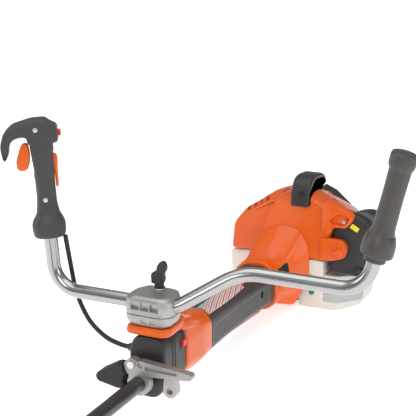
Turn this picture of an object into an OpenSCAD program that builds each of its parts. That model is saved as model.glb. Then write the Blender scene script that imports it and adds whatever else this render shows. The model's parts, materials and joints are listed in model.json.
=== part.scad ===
// String trimmer with a bicycle handlebar, a two-stroke engine and a line head.
// Design frame in mm: the drive tube runs along Y through x = 0, z = 0, with y = 0 under the
// handlebar clamp. +Y points back to the engine, -Y forward to the line head, +X to the
// operator's left, +Z up. at_rest() then sets the machine down on its tank and its guard.

/* [Drive tube] */
// Outer diameter of the drive tube
tube_d = 28; // [25:0.5:28]
// Wall of the drive tube
tube_wall = 1.7; // [1.2:0.1:2.4]
// Distance from the handlebar clamp to the front end of the tube
tube_front = 1005; // [840:5:1200]
// Diameter of the drive shaft
shaft_d = 8; // [6:0.5:8]
// Number of bushes that carry the drive shaft
bush_count = 5; // [3:1:7]

/* [Handlebar] */
// Outer diameter of the handlebar tube
bar_d = 25.4; // [21:0.2:25.4]
// Wall of the handlebar tube
bar_wall = 2.5; // [1.5:0.5:3]
// Height of the handlebar above the drive tube
bar_z = 131; // [129:1:133]
// Bend radius at the foot of the right upright
right_bend_r = 50; // [40:2:52]
// Bend radius where the handlebar leaves the clamp
clamp_bend_r = 34; // [26:2:38]
// Bend radius at the end of the rise over the engine
rise_bend_r = 100; // [60:5:110]
// Bend radius at the foot of the left upright
left_bend_r = 56; // [40:2:58]
// Reach of the handlebar to the operator's right
right_reach = 199; // [180:1:230]
// Reach of the handlebar to the operator's left
left_reach = 374; // [330:2:440]
// Length of the left hand grip
grip_len = 190; // [160:5:200]

/* [Engine] */
// Diameter of the cylinder bore
cyl_bore = 42; // [36:1:44]
// Number of cooling fins
fin_count = 7; // [5:1:8]
// Diameter of the flywheel
flywheel_d = 88; // [80:1:90]
// Radius of the starter rope on its pulley
rope_r = 28; // [24:1:29]

/* [Line head] */
// Diameter of the line head
head_d = 116; // [100:2:124]
// Cutting radius of the lines
line_r = 194; // [170:2:196]
// Outer radius of the guard
guard_r = 212; // [206:2:230]
// Angle covered by the guard
guard_angle = 130; // [100:5:150]

/* [Hidden] */
$fn = 48;

run_fit = 0.05;
press_gap = 0.05;
part_gap = 0.5;
tube_r = tube_d / 2;
bar_r = bar_d / 2;
shaft_r = shaft_d / 2;

// Ground plane: it touches the tank's front edge and the guard's rear edge.
tank_front_y = 575;
tank_floor_z = -60;
gear_y = -tube_front - 23;
out_tilt = 55;
out_dir = [0, -cos(out_tilt), -sin(out_tilt)];
out_side = [0, sin(out_tilt), -cos(out_tilt)];
skirt_end = 96;
guard_low = [0, gear_y, 0] + out_dir * skirt_end + out_side * guard_r;
ground_cut = 6;
rest_pitch = atan((tank_floor_z - guard_low.z - ground_cut) / (tank_front_y - guard_low.y));
rest_shift = [-80, 177, 0];
ground_z0 = tank_floor_z - tank_front_y * tan(rest_pitch);

// Points of the handlebar, from the operator's right to the operator's left.
control_lean = [-0.082, -0.014, 1];
grip_lean = [0.222, 0.062, 1];
grip_rise = 58;
control_rise = 105;
bar_in_control = 110;
bar_corner_l = [left_reach, 55, bar_z + 63];
bar_points = [
    [-right_reach, 0, bar_z] + control_lean * (control_rise + bar_in_control),
    [-right_reach, 0, bar_z], [45, 0, bar_z], [146, 55, bar_z + 63], bar_corner_l,
    bar_corner_l + grip_lean * (grip_rise + grip_len - 18)
];

bar_bends = [right_bend_r, clamp_bend_r, rise_bend_r, left_bend_r];

// Route of the throttle cable, from the control handle to the handle support.
cable_route = [
    [-184, 12, 230], [-183, 18, 200], [-181, 24, 165], [-177, 28, 130], [-165, 26, 98],
    [-140, 18, 68], [-104, 6, 50], [-70, -3, 44], [-35, -8, 43]
];
cable_r = 4.5;

// ---------- helpers ----------

function unit(v) = v / norm(v);
function basis(z, x) =
    let (w = unit(z), v = unit(cross(w, x)), u = cross(v, w))
    [[u.x, v.x, w.x, 0], [u.y, v.y, w.y, 0], [u.z, v.z, w.z, 0], [0, 0, 0, 1]];
function inset(points, centre, d) = [for (p = points) p - d * unit(p - centre)];

// Sets the machine down on the ground plane.
module at_rest() {
    translate([0, 0, -ground_z0 * cos(rest_pitch)])
        translate(rest_shift) rotate([-rest_pitch, 0, 0]) children();
}

// Everything below the ground plane, in the design frame.
module below_ground() {
    translate([0, 0, ground_z0]) rotate([rest_pitch, 0, 0])
        translate([-600, -1500, -400]) cube([1200, 3000, 400]);
}

// Cylinder along Y from y0 to y1, centred on x, z.
module rod_y(r, y0, y1, x = 0, z = 0) {
    translate([x, y0, z]) rotate([-90, 0, 0]) cylinder(h = y1 - y0, r = r);
}

// Ring along Y.
module ring_y(r, bore, y0, y1, x = 0, z = 0) {
    difference() {
        rod_y(r, y0, y1, x, z);
        rod_y(bore, y0 - 1, y1 + 1, x, z);
    }
}

module box(x0, x1, y0, y1, z0, z1) {
    translate([x0, y0, z0]) cube([x1 - x0, y1 - y0, z1 - z0]);
}

// Prism along Y with an outline in x, z.
module prism_y(points, y0, y1) {
    translate([0, y1, 0]) rotate([90, 0, 0]) linear_extrude(height = y1 - y0) polygon(points);
}

// Solid that blends from one outline in x, z to another one.
module loft_y(points0, y0, points1, y1) {
    hull() {
        prism_y(points0, y0, y0 + 1);
        prism_y(points1, y1 - 1, y1);
    }
}

// Block with rounded upright edges.
module round_block(x0, x1, y0, y1, z0, z1, r) {
    translate([x0 + r, y0 + r, z0]) linear_extrude(height = z1 - z0)
        union() {
            translate([0, -r]) square([x1 - x0 - 2 * r, y1 - y0]);
            translate([-r, 0]) square([x1 - x0, y1 - y0 - 2 * r]);
            for (x = [0, x1 - x0 - 2 * r], y = [0, y1 - y0 - 2 * r])
                translate([x, y]) circle(r = r);
        }
}

// Places children with local Z on the output axis and local X towards the operator.
module on_output() {
    translate([0, gear_y, 0]) multmatrix(basis(out_dir, out_side)) children();
}

// Toothed cone between two distances from the gears' common apex.
module bevel_gear(teeth, cone, near, far, tooth) {
    near_r = near * tan(cone);
    far_r = far * tan(cone);
    outline = [for (i = [0 : 2 * teeth - 1])
        (far_r - (i % 2) * tooth) * [cos(180 * i / teeth), sin(180 * i / teeth)]];
    translate([0, 0, far]) mirror([0, 0, 1])
        linear_extrude(height = far - near, scale = near_r / far_r) polygon(outline);
}

// Points of a round bend at corner b between the straights to a and to c.
bend_steps = 7;
function bend(a, b, c, r) =
    let (to_a = unit(a - b), to_c = unit(c - b), turn = acos(-(to_a * to_c)),
        centre = b + unit(to_a + to_c) * r / cos(turn / 2),
        out = unit(b + to_a * r * tan(turn / 2) - centre))
    [for (s = [0 : bend_steps])
        centre + r * (out * cos(turn * s / bend_steps) - to_a * sin(turn * s / bend_steps))];

// Path along points with a round bend of its own radius at each inner point.
function bent_path(points, radii) = concat([points[0]],
    [for (i = [1 : len(points) - 2])
        each bend(points[i - 1], points[i], points[i + 1], radii[i - 1])],
    [points[len(points) - 1]]);

// Smooth curve through the points of a route.
function spline(p, i, t) =
    let (a = p[max(i - 1, 0)], b = p[i], c = p[i + 1], d = p[min(i + 2, len(p) - 1)])
    0.5 * (2 * b + (c - a) * t + (2 * a - 5 * b + 4 * c - d) * t * t
        + (3 * b - a - 3 * c + d) * t * t * t);
function route(p, steps) = concat(
    [for (i = [0 : len(p) - 2], s = [0 : steps - 1]) spline(p, i, s / steps)],
    [p[len(p) - 1]]);

// Ring of points round each point of a path.
function rings(path, r, sides) = let (n = len(path)) [for (i = [0 : n - 1])
    let (way = unit(path[min(i + 1, n - 1)] - path[max(i - 1, 0)]),
        u = unit(cross(way, [0, 1, 0.2])), v = cross(way, u))
    for (k = [0 : sides - 1])
        path[i] + r * (u * cos(360 * k / sides) + v * sin(360 * k / sides))];

// Round cord along the points of a path.
module cord(path, r, sides = 8) {
    n = len(path);
    walls = [for (i = [0 : n - 2], k = [0 : sides - 1])
        let (m = (k + 1) % sides)
        [i * sides + k, i * sides + m, (i + 1) * sides + m, (i + 1) * sides + k]];
    ends = [[for (k = [sides - 1 : -1 : 0]) k], [for (k = [0 : sides - 1]) (n - 1) * sides + k]];
    polyhedron(points = rings(path, r, sides), faces = concat(walls, ends), convexity = 6);
}

// Round tube along the points of a path.
module tube(path, r, bore, sides) {
    n = len(path);
    inner = n * sides;
    last = (n - 1) * sides;
    faces = [for (k = [0 : sides - 1]) let (m = (k + 1) % sides) each concat(
        [for (i = [0 : sides : last - 1]) [i + k, i + m, i + sides + m, i + sides + k]],
        [for (i = [inner : sides : inner + last - 1])
            [i + sides + k, i + sides + m, i + m, i + k]],
        [[inner + k, inner + m, m, k], [last + k, last + m, inner + last + m, inner + last + k]])];
    polyhedron(points = concat(rings(path, r, sides), rings(path, bore, sides)), faces = faces,
        convexity = 10);
}

// Local frames of the two hand grips: Z up the bar, X outward and forward.
control_dir = unit(bar_points[0] - bar_points[1]);
control_base = bar_points[1] + control_dir * control_rise;
hook_way = [-0.88, -0.475, 0];
grip_dir = unit(bar_points[5] - bar_points[4]);
grip_base = bar_points[4] + grip_dir * grip_rise;
module on_control() { translate(control_base) multmatrix(basis(control_dir, hook_way)) children(); }
module on_grip() { translate(grip_base) multmatrix(basis(grip_dir, [1, 0, 0])) children(); }

// ---------- drive line ----------

tube_rear = 480;
module drive_tube() {
    color("#222224") ring_y(tube_r, tube_r - tube_wall, -tube_front, tube_rear);
}

pinion_teeth = 15;
wheel_teeth = 21;
pinion_cone = 42;
wheel_cone = 77;
module drive_shaft() {
    color("silver") {
        rod_y(shaft_r, gear_y + 9, 509);
        translate([0, gear_y, 0]) rotate([-90, 0, 0])
            bevel_gear(pinion_teeth, pinion_cone, 7, 12.5, 1.6);
    }
}

module shaft_bushes() {
    bush_len = 18;
    step = (tube_rear + tube_front - 160) / (bush_count - 1);
    color("dimgray") for (i = [0 : bush_count - 1])
        let (y = -tube_front + 70 + i * step)
        ring_y(tube_r - tube_wall - press_gap, shaft_r + run_fit, y, y + bush_len);
}

drum_hub_r = 7;
drum_r = 34;
module clutch_drum() {
    color("gray") difference() {
        union() {
            rod_y(drum_hub_r, 487, 508);
            rod_y(drum_r, 508, 531);
        }
        rod_y(drum_r - 2.5, 512, 532);
        rod_y(shaft_r + press_gap, 486, 513);
    }
}

module clutch_bearing() {
    color("silver") ring_y(tube_r, drum_hub_r + press_gap, 490, 502);
}

module clutch_shoes() {
    color("darkgray") difference() {
        ring_y(drum_r - 4, 12, 514, 529);
        box(-40, 40, 513, 530, -2.5, 2.5);
        for (z = [-1, 1]) rod_y(4, 513, 530, 0, z * 20);
    }
}

crank_r = 6;
module flywheel() {
    blades = 14;
    color("lightgray") difference() {
        union() {
            rod_y(flywheel_d / 2, 536, 546);
            for (i = [0 : blades - 1]) rotate([0, i * 360 / blades, 0])
                box(24, flywheel_d / 2 - 2, 545, 554, -1.5, 1.5);
            rod_y(14, 530, 556);
        }
        rod_y(crank_r + press_gap, 529, 557);
    }
}

web_gap0 = 608;
web_gap1 = 628;
module crankshaft() {
    color("silver") {
        rod_y(crank_r, 514, 599);
        rod_y(29, 598, web_gap0);
        rod_y(29, web_gap1, 638);
        rod_y(crank_r, 637, 736);
    }
}

module crank_bearings() {
    color("gray") for (y = [584, 641]) ring_y(16, crank_r + press_gap, y, y + 11);
}

module crankcase() {
    color("silver") difference() {
        box(-42, 42, 578, 658, -42, 46);
        rod_y(33, 596, 640);
        rod_y(16 + press_gap, 583, 653);
        rod_y(9, 577, 659);
        translate([0, 618, 0]) cylinder(h = 60, r = cyl_bore / 2 + 2);
    }
}

cyl_y = 618;
module engine_cylinder() {
    color("lightgray") difference() {
        union() {
            translate([0, cyl_y, 46]) cylinder(h = 100, r = cyl_bore / 2 + 5);
            for (i = [0 : fin_count - 1])
                box(-40, 40, cyl_y - 37, cyl_y + 37, 66 + i * 11, 69 + i * 11);
            box(-42, 0, cyl_y - 15, cyl_y + 15, 82, 112);
            box(0, 44, cyl_y - 13, cyl_y + 13, 78, 104);
        }
        translate([0, cyl_y, 45]) cylinder(h = 92, r = cyl_bore / 2);
        translate([0, cyl_y, 130]) cylinder(h = 20, r = 6);
        translate([-50, cyl_y, 97]) rotate([0, 90, 0]) cylinder(h = 50, r = 10);
        translate([5, cyl_y, 91]) rotate([0, 90, 0]) cylinder(h = 50, r = 9);
    }
}

wrist_z = 84;
pin_z = 17;
module piston() {
    color("silver") difference() {
        translate([0, cyl_y, 68]) cylinder(h = 36, r = cyl_bore / 2 - run_fit);
        translate([0, cyl_y, 67]) cylinder(h = 28, r = cyl_bore / 2 - 4);
        rod_y(5, cyl_y - 30, cyl_y + 30, 0, wrist_z);
    }
}

module connecting_rod() {
    color("gray") {
        difference() {
            union() {
                rod_y(10, cyl_y - 7, cyl_y + 7, 0, pin_z);
                rod_y(8, cyl_y - 7, cyl_y + 7, 0, wrist_z);
                box(-4, 4, cyl_y - 5, cyl_y + 5, pin_z + 8, wrist_z - 6);
            }
            rod_y(5 - press_gap, cyl_y - 8, cyl_y + 8, 0, pin_z);
            rod_y(5 - press_gap, cyl_y - 8, cyl_y + 8, 0, wrist_z);
        }
        rod_y(5 - press_gap, web_gap0 + 0.4, web_gap1 - 0.4, 0, pin_z);
        rod_y(5 - press_gap, cyl_y - 17, cyl_y + 17, 0, wrist_z);
    }
}

module spark_plug() {
    color("white") translate([0, cyl_y, 0]) {
        translate([0, 0, 134]) cylinder(h = 14, r = 6 - press_gap);
        translate([0, 0, 147]) cylinder(h = 8, r = 10, $fn = 6);
        translate([0, 0, 154]) cylinder(h = 22, r = 5);
    }
    color("#222224") translate([0, cyl_y, 160]) difference() {
        cylinder(h = 26, r = 10);
        translate([0, 0, -1]) cylinder(h = 18, r = 5);
    }
}

module ignition_coil() {
    color("#333333") {
        box(-20, -12, 538, 550, 47, 66);
        box(12, 20, 538, 550, 47, 66);
        box(-22, 22, 536, 553, 64, 88);
    }
}

// ---------- engine casings ----------

module intake_boot() {
    color("#222224") translate([44, cyl_y, 91]) rotate([0, 90, 0]) difference() {
        cylinder(h = 20, r = 13);
        translate([0, 0, -1]) cylinder(h = 22, r = 9);
    }
}

module carburettor() {
    color("silver") difference() {
        union() {
            box(64, 100, cyl_y - 20, cyl_y + 20, 70, 112);
            translate([82, cyl_y - 8, 111]) cylinder(h = 8, r = 8);
        }
        translate([63, cyl_y, 91]) rotate([0, 90, 0]) cylinder(h = 40, r = 9);
    }
    color("silver") translate([81, cyl_y, 80]) cylinder(h = 22, r = 3);
}

module muffler() {
    color("dimgray") difference() {
        union() {
            box(-98, -56, 584, 692, 64, 122);
            box(-57, -42, cyl_y - 14, cyl_y + 14, 83, 111);
        }
        box(-95, -59, 587, 689, 67, 119);
        translate([-60, cyl_y, 97]) rotate([0, 90, 0]) cylinder(h = 30, r = 10);
        translate([-100, 670, 104]) rotate([0, 90, 0]) cylinder(h = 6, r = 8);
    }
}

muffler_outline = [[-53, 50], [-116, 44], [-106, 120], [-84, 160], [-53, 184]];
module muffler_cover() {
    slot_count = 4;
    color("orangered") difference() {
        prism_y(muffler_outline, 572, 740);
        prism_y(inset(muffler_outline, [-53, 100], 5), 575, 737);
        box(-60, -50, 576, 736, 56, 170);
        for (i = [0 : slot_count - 1]) translate([-90 + i * 9, 571, 128 + i * 5])
            rotate([0, 25, 0]) cube([4, 20, 24]);
        box(-130, -100, 655, 685, 90, 118);
    }
}

hood_outline = [
    [-51, 56], [-51, 152], [-28, 184], [28, 208], [92, 208], [140, 186], [152, 150],
    [128, 96], [128, 56]
];
module engine_hood() {
    color("orangered") {
        difference() {
            prism_y(hood_outline, 556, 742);
            prism_y(inset(hood_outline, [40, 110], 4), 560, 743);
            box(-46, 124, 560, 743, 55, 62);
            box(-52, -40, 590, 690, 62, 136);
            rod_y(60, 550, 562);
            box(116, 160, 576, 730, 62, 152);
        }
        difference() {
            union() {
                box(120, 160, 548, 556, 62, 112);
                rod_y(25, 548, 556, 158, 87);
            }
            rod_y(16, 547, 557, 156, 87);
        }
    }
}

arch_outline = [
    [544, 174], [548, 202], [556, 228], [574, 241], [592, 242], [674, 233], [694, 222],
    [704, 208.5], [690, 208.5], [676, 220], [592, 228], [577, 224], [568, 208.5],
    [555.5, 208.5], [555.5, 174]
];
module hood_arch() {
    color("#333336") difference() {
        translate([50, 0, 0]) rotate([90, 0, 90]) linear_extrude(height = 46) polygon(arch_outline);
        rod_y(4, 540, 556, 73, 200);
    }
}

cowl_outline = [[-104, -20], [-108, 43.5], [-52, 49], [-44, 49], [-44, -20]];
module side_cowl() {
    color("#e4e0d2") {
        difference() {
            prism_y(cowl_outline, 588, 738);
            prism_y(inset(cowl_outline, [-74, 20], 4), 592, 734);
        }
        difference() {
            box(92, 127, 560, 738, 24, 55);
            box(96, 123, 564, 734, 23, 51);
        }
    }
}

nose_front = [
    [-46, -14], [-46, 40], [-24, 64], [26, 66], [50, 40], [50, -14], [26, -36], [-20, -36]
];
nose_rear = [
    [-58, -28], [-58, 60], [-20, 116], [20, 128], [62, 126], [90, 84], [90, 14], [56, -56],
    [-24, -56]
];
module fan_housing() {
    color("orangered") difference() {
        union() {
            difference() {
                loft_y(nose_front, 468, nose_rear, 555.5);
                loft_y(inset(nose_front, [0, 12], 5), 476, inset(nose_rear, [12, 36], 5), 557);
            }
            rod_y(24, 470, 504);
        }
        rod_y(tube_r + press_gap, 467, 505);
    }
}

tank_rear_y = 742;
cap_r = 13;
cap_x = 140;
cap_z = -8;
tank_top = [[54, 575], [150, 575], [198, 632], [200, 690], [168, tank_rear_y], [54, tank_rear_y]];
module fuel_tank() {
    tank_low = [[62, 577], [148, 577], [184, 634], [186, 690], [160, 739], [62, 739]];
    color("#e8e6da") difference() {
        hull() {
            translate([0, 0, -78]) linear_extrude(height = 1) polygon(tank_low);
            translate([0, 0, -30]) linear_extrude(height = 50) polygon(tank_top);
        }
        hull() {
            translate([0, 0, -42]) linear_extrude(height = 1)
                polygon(inset(tank_low, [130, 660], 4));
            translate([0, 0, -30]) linear_extrude(height = 46)
                polygon(inset(tank_top, [130, 660], 4));
        }
        rod_y(cap_r, 730, 750, cap_x, cap_z);
        below_ground();
    }
}

module fuel_cap() {
    color("#222224") difference() {
        union() {
            rod_y(cap_r - run_fit, 733, 744, cap_x, cap_z);
            rod_y(19, tank_rear_y + part_gap, tank_rear_y + 14, cap_x, cap_z);
        }
        for (a = [0 : 45 : 315])
            rod_y(4, tank_rear_y, tank_rear_y + 15, cap_x + 21 * cos(a), cap_z + 21 * sin(a));
    }
}

module stand() {
    color("#333336") difference() {
        union() {
            box(-70, 50, 600, 730, -50, -43);
            for (x = [-70, 38]) box(x, x + 12, 596, 734, -70, -43);
        }
        below_ground();
    }
}

filter_outline = [
    [134, 26], [134, 60], [162, 100], [156, 150], [154, 168], [184, 177], [202, 173],
    [228, 152], [222, 60], [204, 26]
];
module filter_base() {
    color("#333336") difference() {
        box(128.5, 133.5, 580, 726, 26, 150);
        translate([120, cyl_y, 91]) rotate([0, 90, 0]) cylinder(h = 20, r = 9);
    }
    color("#333336") translate([100, cyl_y, 91]) rotate([0, 90, 0]) difference() {
        cylinder(h = 29, r = 12);
        translate([0, 0, -1]) cylinder(h = 40, r = 9);
    }
}

module air_filter() {
    color("ivory") difference() {
        box(140, 190, 600, 700, 66, 146);
        box(139, 170, 610, 690, 76, 136);
    }
}

module filter_cover() {
    color("#2b2b2d") difference() {
        prism_y(filter_outline, 562, 734);
        prism_y(inset(filter_outline, [180, 105], 4), 566, 730);
        box(130, 172, 566, 730, 30, 190);
        rod_y(13, 561, 567, 196, 46);
    }
    color("gold") box(184, 202, 561, 562.2, 122, 134);
}

module filter_knob() {
    color("orangered") {
        rod_y(15, 545, 558, 156, 87);
        box(143, 169, 541, 546, 84, 90);
    }
}

module primer_bulb() {
    color("#1b1b1d") {
        rod_y(11, 566, 572, 196, 46);
        rod_y(8, 558, 567, 196, 46);
    }
}

// ---------- starter ----------

starter_y = 744;
rope_x = rope_r;
flange_r = rope_r + 6;
housing_floor = -41;
module starter_housing() {
    color("#2b2b2d") difference() {
        union() {
            rod_y(60, starter_y, starter_y + 30);
            box(rope_x - 16, rope_x + 16, starter_y, starter_y + 30, 0, 78);
        }
        rod_y(flange_r + 2, starter_y + 4, starter_y + 26);
        rod_y(11, starter_y - 1, starter_y + 5);
        translate([rope_x + 1.5, starter_y + 15, 0]) cylinder(h = 90, r = 3);
        for (a = [100 : 32 : 228]) rotate([0, -a, 0])
            box(44, 52, starter_y - 1, starter_y + 31, -4, 4);
        box(-70, 70, starter_y - 1, starter_y + 31, -70, housing_floor);
    }
    color("#2b2b2d") rod_y(5, starter_y + 6, starter_y + 27);
}

module starter_pulley() {
    color("#444446") difference() {
        union() {
            rod_y(flange_r, starter_y + 7, starter_y + 11);
            rod_y(rope_r, starter_y + 10, starter_y + 20);
            rod_y(flange_r, starter_y + 19, starter_y + 23);
        }
        rod_y(5 + run_fit, starter_y + 5, starter_y + 24);
    }
}

module starter_rope() {
    color("white") translate([rope_x + 1.5, starter_y + 15, 8]) cylinder(h = 75, r = 1.4);
}

module starter_grip() {
    color("#222224") translate([rope_x + 1.5, starter_y + 15, 79]) {
        difference() {
            cylinder(h = 8, r = 8);
            translate([0, 0, -1]) cylinder(h = 6, r = 3);
        }
        translate([-27, -9, 8]) round_block(0, 54, 0, 18, 0, 18, 8);
    }
}

// ---------- handle support ----------

av_front = [
    [-37, -8], [-37, 44], [-20, 64], [20, 64], [37, 44], [37, -8], [18, -28], [-18, -28]
];
av_rear = [
    [-44, -12], [-44, 38], [-24, 62], [26, 62], [48, 38], [48, -12], [24, -34], [-20, -34]
];
av_bore = 24;
module av_housing() {
    color("#38383b") difference() {
        loft_y(av_front, 166, av_rear, 467);
        rod_y(av_bore, 165, 468);
        box(30, 60, 400, 412, 16, 22);
    }
}

module av_rubbers() {
    color("#111111") for (y = [180, 425])
        ring_y(av_bore - press_gap, tube_r + press_gap, y, y + 34);
}

module stripe_band() {
    color("#9fb0b0") hull() {
        box(-12, 18, 170, 172, 64.2, 66.5);
        box(-12, 20, 400, 402, 64.2, 66);
    }
}

collar_front = [[-36, -6], [-36, 40], [-30, 76], [30, 76], [38, 40], [38, -6], [16, -34], [-16, -34]];
collar_rear = [[-39, -8], [-39, 44], [-22, 67], [22, 67], [39, 44], [39, -8], [20, -31], [-20, -31]];
swivel_y = 26;
saddle_top = 95;
screw_r = 4;
module handle_bracket() {
    color("orangered") difference() {
        union() {
            loft_y(collar_front, 63, collar_rear, 165.5);
            hull() {
                box(-41, 43, -30, 52, 78.5, saddle_top);
                box(-30, 30, 60, 90, 60, 80);
            }
        }
        rod_y(tube_r + press_gap, 60, 170);
        translate([0, swivel_y, 70]) cylinder(h = 30, r = screw_r + run_fit);
        box(-60, 60, -40, 62.5, 40, 78);
    }
}

module handle_support() {
    color("#2b2b2d") difference() {
        union() {
            round_block(-33, 36, -30, 62, -20, 77.5, 12);
            rod_y(30, -30, 62, 0, -8);
        }
        rod_y(tube_r + press_gap, -31, 63);
        translate([0, swivel_y, 50]) cylinder(h = 40, r = screw_r + 1);
        translate([-36, -8, 43]) rotate([0, 90, 0]) cylinder(h = 6, r = cable_r + 0.3);
    }
}

lug_y0 = -60;
lug_y1 = -44;
eye_x = 62;
eye_z = -2;
eye_r = 6;
module harness_lug() {
    color("#c9c9c6") difference() {
        union() {
            rod_y(22, lug_y0, lug_y1);
            rod_y(16, lug_y0, lug_y1, -12, 30);
            hull() {
                rod_y(14, lug_y0, lug_y1, 6, 30);
                rod_y(6, lug_y0, lug_y1, 98, 30);
            }
            hull() {
                rod_y(10, lug_y0, lug_y1, eye_x, 26);
                rod_y(13, lug_y0, lug_y1, eye_x, eye_z);
            }
        }
        rod_y(tube_r + press_gap, lug_y0 - 1, lug_y1 + 1);
        rod_y(eye_r, lug_y0 - 1, lug_y1 + 1, eye_x, eye_z);
        rod_y(4, lug_y0 - 1, lug_y1 + 1, -12, 36);
        rod_y(5, lug_y0 - 1, lug_y0 + 4, 4, 36);
        box(14, 76, lug_y0 - 1, lug_y0 + 4, 29, 36);
    }
}

module rubber_rest() {
    color("#19191a") difference() {
        hull() {
            rod_y(10, -66, -38, -72, 4);
            rod_y(22, -66, -38, -38, 10);
        }
        rod_y(30, -70, -30);
        rod_y(17, -70, -30, -12, 30);
    }
}

// ---------- clamp ----------

clamp_top = bar_z + 20;
relief_x = 31;
relief_r = 22;
clamp_plan = [[-34, -31], [34, -31], [46, -17], [46, 18], [31, 46], [-31, 46], [-46, 18], [-46, -17]];
module clamp_lower() {
    color("#b9b5ad") difference() {
        hull() {
            translate([0, 0, saddle_top + part_gap]) linear_extrude(height = 1)
                polygon(clamp_plan * 0.76);
            translate([0, 0, 106]) linear_extrude(height = bar_z - 106.4) polygon(clamp_plan);
        }
        translate([-60, 0, bar_z]) rotate([0, 90, 0]) cylinder(h = 120, r = bar_r + run_fit);
        translate([relief_x, 0, bar_z]) rotate([0, 90, 0]) cylinder(h = 40, r = relief_r);
        translate([0, swivel_y, 80]) cylinder(h = 60, r = screw_r + 0.4);
    }
}

module clamp_upper() {
    pocket_xs = [-26, 0, 26];
    color("#b9b5ad") difference() {
        hull() {
            translate([0, 0, bar_z + 0.4]) linear_extrude(height = 10) polygon(clamp_plan);
            translate([0, 0, clamp_top - 1]) linear_extrude(height = 1) polygon(clamp_plan * 0.78);
        }
        translate([-60, 0, bar_z]) rotate([0, 90, 0]) cylinder(h = 120, r = bar_r + run_fit);
        translate([relief_x, 0, bar_z]) rotate([0, 90, 0]) cylinder(h = 40, r = relief_r);
        translate([0, swivel_y, 120]) cylinder(h = 60, r = screw_r + 0.4);
        for (x = pocket_xs) box(x - 10, x + 10, -40, -22, bar_z + 6, clamp_top - 6);
    }
}

knob_z = clamp_top + 2;
module wing_screw() {
    color("silver") translate([0, swivel_y, 0]) {
        translate([0, 0, 72]) cylinder(h = knob_z - 70, r = screw_r);
        translate([0, 0, clamp_top + 0.3]) cylinder(h = 2, r = 11);
    }
    color("#1b1b1d") translate([0, swivel_y, knob_z]) difference() {
        union() {
            translate([0, 0, 0.3]) cylinder(h = 14, r = 9);
            hull() {
                box(-15, 15, -5, 5, 12, 20);
                box(-12, 16, -5, 5, 20, 42);
            }
        }
        box(-4, 6, -6, 6, 30, 43);
    }
}

// ---------- handlebar ----------

module handlebar() {
    color("#cfd2d4") tube(bent_path(bar_points, bar_bends), bar_r, bar_r - bar_wall, 24);
}

// Side outline of the control handle in its local x and z.
shell_outline = [
    [-30, -4], [30, -6], [30, 26], [18, 42], [17, 118], [24, 128], [30, 176], [46, 180],
    [54, 170], [57, 150], [66, 140], [69, 168], [62, 190], [46, 204], [12, 213], [-14, 213],
    [-22, 204], [-34, 198], [-34, 170], [-20, 160], [-20, 42], [-30, 30]
];
shell_half = 18;
// The trigger's foot swings back to here when it is pulled.
trigger_room_x = -2;
module control_shells() {
    color("#2f2f32") on_control() difference() {
        for (side = [0, 1]) mirror([0, side, 0]) translate([0, shell_half, 0])
            rotate([90, 0, 0]) linear_extrude(height = shell_half - 0.1) polygon(shell_outline);
        translate([0, 0, -10]) cylinder(h = 126, r = bar_r + press_gap);
        // Room for the trigger, the lockout and the stop switch.
        box(trigger_room_x, 60, -8, 8, 116, 177);
        box(-24, -11, -5, 5, 120, 150);
        box(-24, -15.5, -5, 5, 80, 150);
        box(-31, -12, -7, 7, 172, 195);
        box(-35, -30, -4, 4, 178, 190);
        translate([-22, 0, -10]) cylinder(h = 30, r = cable_r + 0.3);
        translate([26, 30, 172]) rotate([90, 0, 0]) cylinder(h = 60, r = 2.5 - press_gap);
    }
}

trigger_outline = [[22, 176], [30, 176], [38, 170], [45, 124], [38, 119], [12, 122], [12, 150]];
module throttle_trigger() {
    color("orangered") on_control() difference() {
        translate([0, 7, 0]) rotate([90, 0, 0]) linear_extrude(height = 14) polygon(trigger_outline);
        translate([26, 30, 172]) rotate([90, 0, 0]) cylinder(h = 60, r = 2.5);
    }
}

module throttle_lockout() {
    color("orangered") on_control() union() {
        box(-26, -20.4, -4, 4, 84, 146);
        box(-21, -17, -4, 4, 126, 140);
    }
}

module stop_switch() {
    color("red") on_control() {
        box(-38, -26, -3.6, 3.6, 178.4, 189.6);
        box(-28, -24, -6, 6, 174, 193);
    }
}

module left_hand_grip() {
    color("#3a3a3c") on_grip() difference() {
        union() {
            translate([0, 0, 2]) cylinder(h = 34, r = 28);
            translate([0, 0, -10]) cylinder(h = 14, r = 19);
            cylinder(h = grip_len - 20, r = 18);
            translate([0, 0, grip_len - 26]) cylinder(h = 26, r = 23);
        }
        translate([0, 0, -11]) cylinder(h = grip_len + 4, r = bar_r + press_gap);
    }
}

module throttle_cable() {
    color("#19191a") cord(route(cable_route, 3), cable_r);
}

// ---------- gear head, line head and guard ----------

spindle_r = 5;
module gear_housing() {
    color("#2b2b2d") difference() {
        union() {
            rod_y(21, gear_y + 14, gear_y + 62);
            translate([0, gear_y, 0]) sphere(r = 28);
            on_output() cylinder(h = 40, r = 26);
            on_output() translate([0, 0, 30]) cylinder(h = 7, r = 34);
        }
        rod_y(tube_r + press_gap, -tube_front - part_gap, gear_y + 63);
        rod_y(shaft_r + 0.4, gear_y, gear_y + 30);
        translate([0, gear_y, 0]) sphere(r = 19);
        on_output() translate([0, 0, -22]) cylinder(h = 80, r = spindle_r + run_fit);
        on_output() cylinder(h = 20, r = 18);
    }
}

module output_spindle() {
    color("silver") on_output() {
        translate([0, 0, 0.5]) cylinder(h = 66, r = spindle_r);
        rotate([0, 0, 180 / wheel_teeth]) bevel_gear(wheel_teeth, wheel_cone, 2.2, 3.6, 1.6);
        translate([0, 0, 3]) cylinder(h = 8, r = 10);
        translate([0, 0, 44]) cylinder(h = 6, r = 22);
    }
}

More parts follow.
